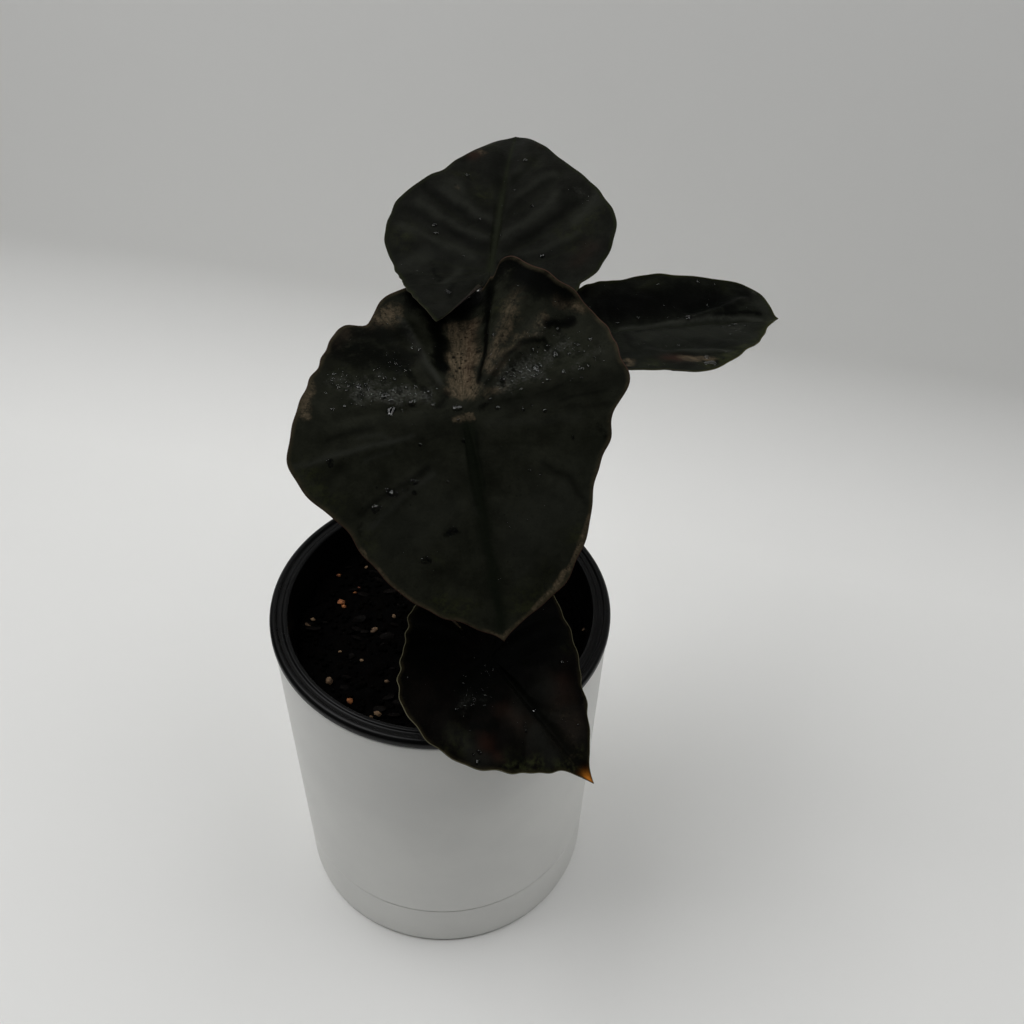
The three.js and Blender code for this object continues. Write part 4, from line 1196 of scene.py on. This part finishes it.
# %% [markdown]
# A tube needs rings that stand square to its path. Carrying one sideways direction along from ring to ring
# keeps the tube from twisting, which a fixed direction would not do where the stalk bows over.
# %% Stalks
def ring_round(centre, aside, other, radius, sides):
    """One ring round a centre, in the plane of two directions."""
    turn = full_turn(sides)
    spokes = np.cos(turn)[:, None] * aside + np.sin(turn)[:, None] * other
    return centre + spokes * np.broadcast_to(radius, sides)[:, None]


def tube(path, radii, sides):
    """Rings square to a path, turned as little as possible from one to the next."""
    ahead = np.gradient(path, axis=0)
    aside = np.cross(ahead[0], [0.3, 0.2, 0.1])
    rings = []
    for centre, way, radius in zip(path, ahead, radii):
        way = unit(way)
        aside = unit(aside - way * (aside @ way))
        rings.append(ring_round(centre, aside, np.cross(way, aside), radius, sides))
    return rings


def stalk_piece(name, leaf):
    """A tapered stalk with a shallow groove and slight swellings."""
    steps, sides = 110, 30
    path, far = stalk_path(leaf, steps)
    part = np.linspace(0, 1, steps)
    thick = STALK_FOOT + (STALK_HEAD - STALK_FOOT) * soft(part * 1.2)
    thick += 0.6 * np.exp(-((1 - part) / 0.06) ** 2)
    turn = full_turn(sides)
    groove = 1 - 0.12 * np.exp(-(np.abs(turn - math.pi) / 0.45) ** 2)
    knots = 1 + 0.025 * np.sin(far[:, None] / 3.1 + 2 * np.sin(turn + far[:, None] / 17))
    piece = skin("stalk_" + name, tube(path, thick[:, None] * groove * knots, sides))
    store(piece, "far", np.concatenate([np.repeat(far, sides), far[[0, -1]]]))
    return piece


stalks = {name: stalk_piece(name, leaf) for name, leaf in LEAVES.items()}
for name, piece in stalks.items():
    seat(piece, "stalk", "petiole_" + name)

# %% [markdown]
# The crown is the short stem that the stalks leave. It carries the scars of old leaves as rings, and dry
# sheaths that stand up a few millimetres round each stalk, with torn tops.
# %% Crown and sheaths
CROWN_PROFILE = [(96.5, 8), (98.5, 9), (115, 9.2), (116.5, 9.7), (118.4, 9.5), (120.4, 8.2), (121, 7.4)]
SHEATH_FROM, SHEATH_TO, SHEATH_RADIUS, SHEATH_FLARE, SHEATH_SKIN = 3.4, 10.5, 2.75, 0.5, 0.18


def crown_rings():
    """The stem, with ridges for old leaf scars and a rough skin."""
    sides = 60
    levels = [np.linspace(96.6, 98.5, 4), np.linspace(100, 114, 8), np.linspace(115, 121, 22)]
    heights = np.concatenate(levels)
    radii = np.interp(heights, *zip(*CROWN_PROFILE))
    turn = full_turn(sides)
    rings = []
    for height, radius in zip(heights, radii):
        scar = 0.25 * math.sin(height * 3.4) * (height > 114)
        rough = 0.15 * np.sin(9 * turn + height) + 0.1 * np.sin(17 * turn - 2 * height)
        size = radius + scar + rough * (height > 114)
        lift = 0.3 * np.sin(3 * turn + 1) * (height > 116) * (height < 121)
        rings.append(circle(size, height + lift - 0.3, sides))
    return rings


def sheath(leaf, turn_by):
    """A thin torn sleeve round the foot of one stalk."""
    path, far = stalk_path(leaf, 300)
    sides = 36
    turn = full_turn(sides)
    torn = 0.72 + 0.28 * np.abs(np.sin(2.5 * turn + turn_by)) * np.abs(np.cos(1.5 * turn + 2 * turn_by))
    outside = [(SHEATH_FROM + (SHEATH_TO - SHEATH_FROM) * share * torn,
                SHEATH_RADIUS + SHEATH_FLARE * share ** 2) for share in np.linspace(0, 1, 12)]
    inside = [(height, radius - SHEATH_SKIN) for height, radius in reversed(outside)]
    rings = []
    for height, radius in outside + inside:
        centre = np.stack([np.interp(height, far, path[:, i]) for i in range(3)], 1)
        way = unit(path[40] - path[0])
        aside = unit(np.cross(way, [0, 1, 0.2]))
        wrinkle = radius + 0.08 * np.sin(11 * turn + turn_by)
        rings.append(ring_round(centre, aside, np.cross(way, aside), wrinkle, sides))
    return rings


crown = skin("crown_stem", crown_rings())
seat(crown, "stalk", "crown")
sheaths = several("dry_sheaths", [sheath(leaf, i * 1.9) for i, leaf in enumerate(LEAVES.values())])
seat(sheaths, "stalk")

# %% [markdown]
# The stalks are mottled purple-brown on dull green, which fades to green under the blade. The mottling is
# noise that is stretched along the stalk. The sheaths are straw brown with fine lengthwise fibres.
# %% Stalk and sheath finishes
def drawn_out(tree, share):
    """The point on the object with its height squeezed, which draws a pattern out upwards."""
    squeeze = tree.nodes.new("ShaderNodeMapping")
    squeeze.inputs["Scale"].default_value = (1, 1, share)
    tree.links.new(place(tree), squeeze.inputs["Vector"])
    return squeeze.outputs[0]


def stalk_finish():
    """Purple-brown mottling over green."""
    material, tree, shader = new_finish("stalk_skin")
    where = drawn_out(tree, 0.35)
    blotches = fade(tree, noise(tree, where, 420.0, 4.0, 0.65), 0.42, 0.58)
    specks = fade(tree, noise(tree, where, 1600.0, 2.0), 0.55, 0.68)
    tone = tint(tree, blotches, (0.030, 0.026, 0.012), (0.020, 0.009, 0.008))
    tone = tint(tree, calc(tree, "MULTIPLY", specks, 0.5), tone, (0.010, 0.004, 0.004))
    tone = tint(tree, fade(tree, read(tree, "far"), 8.0, 30.0, 0.55, 0.0), tone, (0.035, 0.012, 0.014))
    rough = calc(tree, "MULTIPLY_ADD", blotches, 0.1, 0.36)
    ribs = noise(tree, where, 900.0, 3.0)
    finish(shader, Base_Color=tone, Roughness=rough, Normal=bump(tree, ribs, 0.3, 0.0002),
           Specular_IOR_Level=0.2)
    return material


def dry_finish(name, light, dark):
    """Dry papery skin with fibres that run up it."""
    material, tree, shader = new_finish(name)
    fibres = noise(tree, drawn_out(tree, 0.18), 1500.0, 4.0, 0.6)
    stains = fade(tree, noise(tree, place(tree), 260.0, 4.0), 0.4, 0.65)
    tone = tint(tree, fade(tree, fibres, 0.35, 0.65), light, dark)
    tone = tint(tree, calc(tree, "MULTIPLY", stains, 0.7), tone, tuple(0.35 * c for c in dark))
    finish(shader, Base_Color=tone, Roughness=calc(tree, "MULTIPLY_ADD", fibres, 0.2, 0.6),
           Normal=bump(tree, fibres, 0.6, 0.0003), Specular_IOR_Level=0.06)
    return material


stalk_skin = stalk_finish()
for piece in stalks.values():
    piece.data.materials.append(stalk_skin)
crown.data.materials.append(dry_finish("crown_bark", (0.022, 0.014, 0.009), (0.008, 0.005, 0.003)))
sheaths.data.materials.append(dry_finish("dry_sheath", (0.045, 0.028, 0.017), (0.016, 0.009, 0.006)))

# %% [markdown]
# ## The soil
# It is a dark, open mix: peat with bits of bark and a few grains of pumice and clay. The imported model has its
# large lumps. Here the same lumps get finer ones on top, and hundreds of loose crumbs lie on the surface.
# %% Soil surface
SOIL_TOP, SOIL_LUMP, SOIL_RELIEF, SOIL_MOUND = 111.5, 5.5, 1.5, 2.0


def hills(x, y):
    """Smooth random heights between 0 and 1 on a grid of one unit."""
    def corner(a, b):
        scatter = np.sin(a * 127.1 + b * 311.7) * 43758.5453
        return scatter - np.floor(scatter)

    i, j = np.floor(x), np.floor(y)
    u, v = soft(x - i), soft(y - j)
    near = corner(i, j) + (corner(i + 1, j) - corner(i, j)) * u
    far = corner(i, j + 1) + (corner(i + 1, j + 1) - corner(i, j + 1)) * u
    return near + (far - near) * v


def soil_height(x, y):
    """The soil's height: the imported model's lumps, and finer ones."""
    lumps = hills(x / SOIL_LUMP, y / SOIL_LUMP) + 0.5 * hills(x / 3 + 40, y / 3)
    mound = SOIL_MOUND * np.exp(-(x * x + y * y) / 500)
    fine = 0.7 * hills(x / 1.3 + 9, y / 1.3) + 0.35 * hills(x / 0.6, y / 0.6 + 5) - 0.5
    return SOIL_TOP + mound + SOIL_RELIEF * (2 * lumps - 1.5) + 0.9 * fine


def soil_rings():
    """From the pot's floor up its wall and in over the surface to the crown."""
    floor, edge, hole, sides = 30.0, 47.3, 9.4, 200
    turn = full_turn(sides)
    rings = [circle(18, floor, sides), circle(38.0, floor, sides), circle(edge, SOIL_TOP - 2, sides)]
    for radius in np.linspace(edge, hole, 66):
        x, y = radius * np.cos(turn), radius * np.sin(turn)
        rings.append(np.stack([x, y, soil_height(x, y)], 1))
    return rings + [circle(hole, 97, sides), circle(hole / 2, 96.3, sides)]


soil = skin("soil_mix", soil_rings())
seat(soil, "soil_mix", "soil")

# %% [markdown]
# Crumbs are small uneven balls. Bark chips are flat and angular, so they keep hard edges. A few grains
# have the colour of pumice, clay or fresh bark, and those are the specks that show in the dark soil.
# %% Crumbs, chips and grains
def lump(at, size, squash, roughness, sides=9, layers=6):
    """A small uneven ball with a random turn."""
    turn = full_turn(sides)
    spin = rng.uniform(0, 2 * math.pi)
    tilt = rng.uniform(-0.5, 0.5, 2)
    rings = []
    for polar in np.linspace(0.35, math.pi - 0.35, layers):
        radius = size * (1 + roughness * rng.uniform(-1, 1, sides))
        x = radius * math.sin(polar) * np.cos(turn + spin) * squash[0]
        y = radius * math.sin(polar) * np.sin(turn + spin) * squash[1]
        z = -radius * math.cos(polar) * squash[2]
        rings.append(np.stack([x, y, z + tilt[0] * x + tilt[1] * y], 1) + at)
    return rings


def on_soil(radius_from=10.5, radius_to=46.3):
    """A random place on the soil."""
    radius = math.sqrt(rng.uniform(radius_from**2, radius_to**2))
    turn = rng.uniform(0, 2 * math.pi)
    x, y = radius * math.cos(turn), radius * math.sin(turn)
    return np.array([x, y, float(soil_height(np.array(x), np.array(y)))])


def crumb():
    """A small ball of peat, half sunk in the soil."""
    size = rng.uniform(0.35, 1.25)
    return lump(on_soil() + (0, 0, 0.25 * size), size, (1, rng.uniform(0.7, 1), rng.uniform(0.6, 0.9)), 0.22)


def chip():
    """A flat piece of bark that lies on the soil."""
    size = rng.uniform(1.2, 2.8)
    squash = (1, rng.uniform(0.4, 0.7), rng.uniform(0.18, 0.3))
    return lump(on_soil(12, 44.5) + (0, 0, 0.4), size, squash, 0.18, 7, 4)


def grain(at, size):
    """One rough grain at a given place."""
    return lump(np.array(at), size, (1, rng.uniform(0.6, 1), rng.uniform(0.5, 0.9)), 0.24, 10, 7)


crumbs = several("soil_crumbs", [crumb() for _ in range(750)])
chips = several("bark_chips", [chip() for _ in range(90)], smooth=False)
seat(crumbs, "soil_mix")
seat(chips, "soil_mix")

# %% [markdown]
# The specks that the photograph shows lie where the camera's rays through them meet the soil. A short
# helper follows such a ray down to the soil's height, so each speck is given by its place in the picture.
# %% Specks of pumice and clay
SPECKS = {
    "clay": [(341, 603, 1.5), (339, 576, 0.8), (355, 593, 0.7), (588, 617, 0.9), (350, 701, 1.0),
             (344, 607, 0.8)],
    "pumice": [(309, 626, 1.3), (374, 631, 1.2), (329, 682, 1.2), (387, 682, 0.8), (599, 634, 0.9),
               (378, 715, 1.2), (584, 630, 0.7), (340, 652, 0.6), (362, 661, 0.7), (313, 620, 0.8),
               (372, 717, 0.8)],
}


def soil_at(px, py):
    """The soil's point that shows at a place in the 1024-pixel picture."""
    right, up, back = camera_axes()
    ray = right * (px - 512) + up * (512 - py) - back * (LENS / SENSOR * 1024)
    x, y, z = CAMERA_AT / MM
    height = SOIL_TOP
    for _ in range(4):
        reach = (height - z) / ray.z
        spot = np.array([x + ray.x * reach, y + ray.y * reach])
        height = float(soil_height(spot[0], spot[1]))
    return np.array([*spot, height])


grains = {}
for kind, spots in SPECKS.items():
    stacks = [grain(soil_at(px, py) + (0, 0, 0.3 * size), size) for px, py, size in spots]
    stacks += [grain(on_soil() + (0, 0, 0.2), rng.uniform(0.4, 0.9)) for _ in range(2)]
    grains[kind] = several("grains_of_" + kind, stacks)
    seat(grains[kind], "soil_mix")

# %% [markdown]
# Damp soil hardly shines, and its colour changes from crumb to crumb. A coarse noise gives the clods and a
# fine one the grit on them. The grains are porous, so a cell pattern pits them and darkens each pit, and
# soil stains their skin.
# %% Soil finishes
def soil_finish(name, dark, light, shine):
    """Damp dark crumbs with a few paler ones."""
    material, tree, shader = new_finish(name)
    where = place(tree)
    clods = noise(tree, where, 260.0, 5.0, 0.7)
    grit = noise(tree, where, 1500.0, 3.0, 0.7)
    tone = tint(tree, fade(tree, clods, 0.4, 0.7), dark, light)
    tone = tint(tree, fade(tree, grit, 0.62, 0.75, 0.0, 0.7), tone, tuple(2.2 * c for c in light))
    height = calc(tree, "MULTIPLY_ADD", grit, 0.5, clods)
    finish(shader, Base_Color=tone, Roughness=calc(tree, "MULTIPLY_ADD", clods, 0.3, 0.6),
           Normal=bump(tree, height, 0.9, 0.0008), Specular_IOR_Level=shine)
    return material


def grain_finish(name, pale, deep):
    """A porous grain, stained by the soil."""
    material, tree, shader = new_finish(name)
    where = place(tree)
    pores = cells(tree, where, 2600.0)
    stain = fade(tree, noise(tree, where, 500.0, 4.0, 0.65), 0.35, 0.65)
    tone = tint(tree, stain, pale, deep)
    tone = tint(tree, fade(tree, pores, 0.1, 0.35, 0.7, 0.0), tone, tuple(0.3 * c for c in deep))
    finish(shader, Base_Color=tone, Roughness=calc(tree, "MULTIPLY_ADD", stain, 0.15, 0.75),
           Normal=bump(tree, pores, 0.7, 0.0002))
    return material


SOIL_SHINE = 0.025
FINISHED = [
    (soil, soil_finish("soil_damp", (0.0003, 0.0002, 0.0002), (0.0009, 0.0006, 0.0004), SOIL_SHINE)),
    (crumbs, soil_finish("soil_crumb", (0.0003, 0.0003, 0.0002), (0.0013, 0.0009, 0.0006), SOIL_SHINE)),
    (chips, dry_finish("bark_chip", (0.0030, 0.0018, 0.0012), (0.0012, 0.0008, 0.0006))),
    (grains["clay"], grain_finish("grain_clay", (0.36, 0.13, 0.035), (0.11, 0.03, 0.014))),
    (grains["pumice"], grain_finish("grain_pumice", (0.24, 0.15, 0.075), (0.08, 0.045, 0.024))),
]
for piece, material in FINISHED:
    piece.data.materials.append(material)

# %% [markdown]
# ## Plastic
# The white shells are satin plastic. Up close such a wall has a very fine grain from its mould, and its
# gloss is a little uneven from handling. The black pot is glossier and thinner, with dust and fine rubbed
# marks.
# %% Plastic finishes
def white_plastic(name, tone, shade):
    """Satin white plastic."""
    material, tree, shader = new_finish(name)
    where = place(tree)
    grain_relief = noise(tree, where, 3200.0, 2.0, 0.5)
    handling = noise(tree, where, 22.0, 4.0, 0.6)
    body = tint(tree, fade(tree, handling, 0.35, 0.7), tone, shade)
    dust = fade(tree, noise(tree, where, 700.0, 3.0, 0.7), 0.66, 0.8, 0.0, 0.25)
    body = tint(tree, dust, body, tuple(0.8 * c for c in shade))
    rough = calc(tree, "MULTIPLY_ADD", handling, 0.16, 0.36)
    finish(shader, Base_Color=body, Roughness=rough, Normal=bump(tree, grain_relief, 0.12, 0.0001),
           Specular_IOR_Level=0.5)
    return material


def black_plastic():
    """Thin black plastic, with dust and rubbed marks."""
    material, tree, shader = new_finish("black_plastic")
    where = place(tree)
    rubbed = noise(tree, where, 60.0, 5.0, 0.7)
    dust = fade(tree, noise(tree, where, 1300.0, 3.0, 0.7), 0.62, 0.74)
    grain_relief = noise(tree, where, 2400.0, 2.0)
    tone = tint(tree, fade(tree, rubbed, 0.4, 0.75), (0.0018, 0.0018, 0.0019), (0.0036, 0.0037, 0.0038))
    tone = tint(tree, calc(tree, "MULTIPLY", dust, 0.1), tone, (0.03, 0.028, 0.025))
    rough = calc(tree, "ADD", calc(tree, "MULTIPLY_ADD", rubbed, 0.2, 0.2), calc(tree, "MULTIPLY", dust, 0.1))
    finish(shader, Base_Color=tone, Roughness=rough, Normal=bump(tree, grain_relief, 0.15, 0.0001),
           Specular_IOR_Level=0.12)
    return material


saucer.data.materials.append(white_plastic("white_saucer_plastic", (0.79, 0.79, 0.76), (0.75, 0.75, 0.725)))
planter.data.materials.append(white_plastic("white_planter_plastic", (0.81, 0.81, 0.78), (0.77, 0.77, 0.745)))
pot.data.materials.append(black_plastic())

# %% [markdown]
# ## The photographer's table
# The plant stands on one short pale sheet that sweeps up behind it, a little askew. Two broad soft lights
# hang over it, the stronger one on the left, and the side of the camera stays dark. So the floor is bright,
# the upright wall and the front of the pot are greyer, and leaves that face the camera stay black.
# The sheet's finish is one-sided: its back is clear, so that the wall doesn't hide the plant from behind.
# %% Backdrop
SHEET = {"front": -0.45, "bend_at": 0.17, "bend": 0.075, "wide": 0.55, "tall": 0.8,
         "askew": math.radians(-12)}


def sweep(front, bend_at, bend, wide, tall, askew):
    """A pale sheet: flat, then a bend, then up."""
    line = [(front, 0.0), (bend_at, 0.0)]
    for turn in np.linspace(0, math.pi / 2, 24)[1:]:
        line.append((bend_at + bend * math.sin(turn), bend - bend * math.cos(turn)))
    line.append((bend_at + bend, tall))
    points = [(x * math.cos(askew) - y * math.sin(askew),
               x * math.sin(askew) + y * math.cos(askew), z - 0.0003)
              for y, z in line for x in (-wide, wide)]
    faces = []
    for i in range(len(line) - 1):
        a = 2 * i
        faces += [(a, a + 1, a + 3), (a, a + 3, a + 2)]
    return mesh_object("backdrop", np.array(points), np.array(faces))


def sheet_finish():
    """Matte white sheet with a trace of texture, and clear from behind."""
    material, tree, shader = new_finish("backdrop_sheet")
    clouds = noise(tree, place(tree), 3.0, 3.0)
    tone = tint(tree, clouds, (0.80, 0.80, 0.785), (0.83, 0.83, 0.815))
    finish(shader, Base_Color=tone, Roughness=0.7, Specular_IOR_Level=0.3)
    behind = tree.nodes.new("ShaderNodeNewGeometry").outputs["Backfacing"]
    clear = tree.nodes.new("ShaderNodeBsdfTransparent")
    sides = tree.nodes.new("ShaderNodeMixShader")
    for source, target in zip((behind, shader.outputs[0], clear.outputs[0]), sides.inputs):
        tree.links.new(source, target)
    tree.links.new(sides.outputs[0], tree.nodes["Material Output"].inputs["Surface"])
    return material


backdrop = sweep(**SHEET)
backdrop.data.materials.append(sheet_finish())

# %% [markdown]
# Both lights look at the same point on the table, a little in front of the pot. The room itself adds only a
# trace of light, so that no hollow is quite black.
# %% Lights
LIGHTS = {"light_left": ((-0.36, -0.02, 0.90), 5.0), "light_right": ((0.42, 0.02, 0.85), 3.4)}
LIT_POINT, LIGHT_SIZE = (0, -0.13, 0.0), 0.6
ROOM_TONE, ROOM_STRENGTH = (0.97, 0.98, 1.0), 0.05


def softbox(name, at, power):
    """A soft square light over the plant, with its power in watts."""
    lamp = bpy.data.lights.new(name, "AREA")
    lamp.shape = "RECTANGLE"
    lamp.size = lamp.size_y = LIGHT_SIZE
    lamp.energy = power
    light = bpy.data.objects.new(name, lamp)
    light.location = at
    light.rotation_euler = (Vector(LIT_POINT) - Vector(at)).to_track_quat("-Z", "Y").to_euler()
    scene.collection.objects.link(light)
    print(name, "gives", power, "W")


for name, (at, power) in LIGHTS.items():
    softbox(name, at, power)

world = bpy.data.worlds.new("dim_room")
world.use_nodes = True
room = world.node_tree.nodes["Background"]
room.inputs["Color"].default_value = (*ROOM_TONE, 1)
room.inputs["Strength"].default_value = ROOM_STRENGTH
scene.world = world
scene.view_settings.view_transform = "Standard"
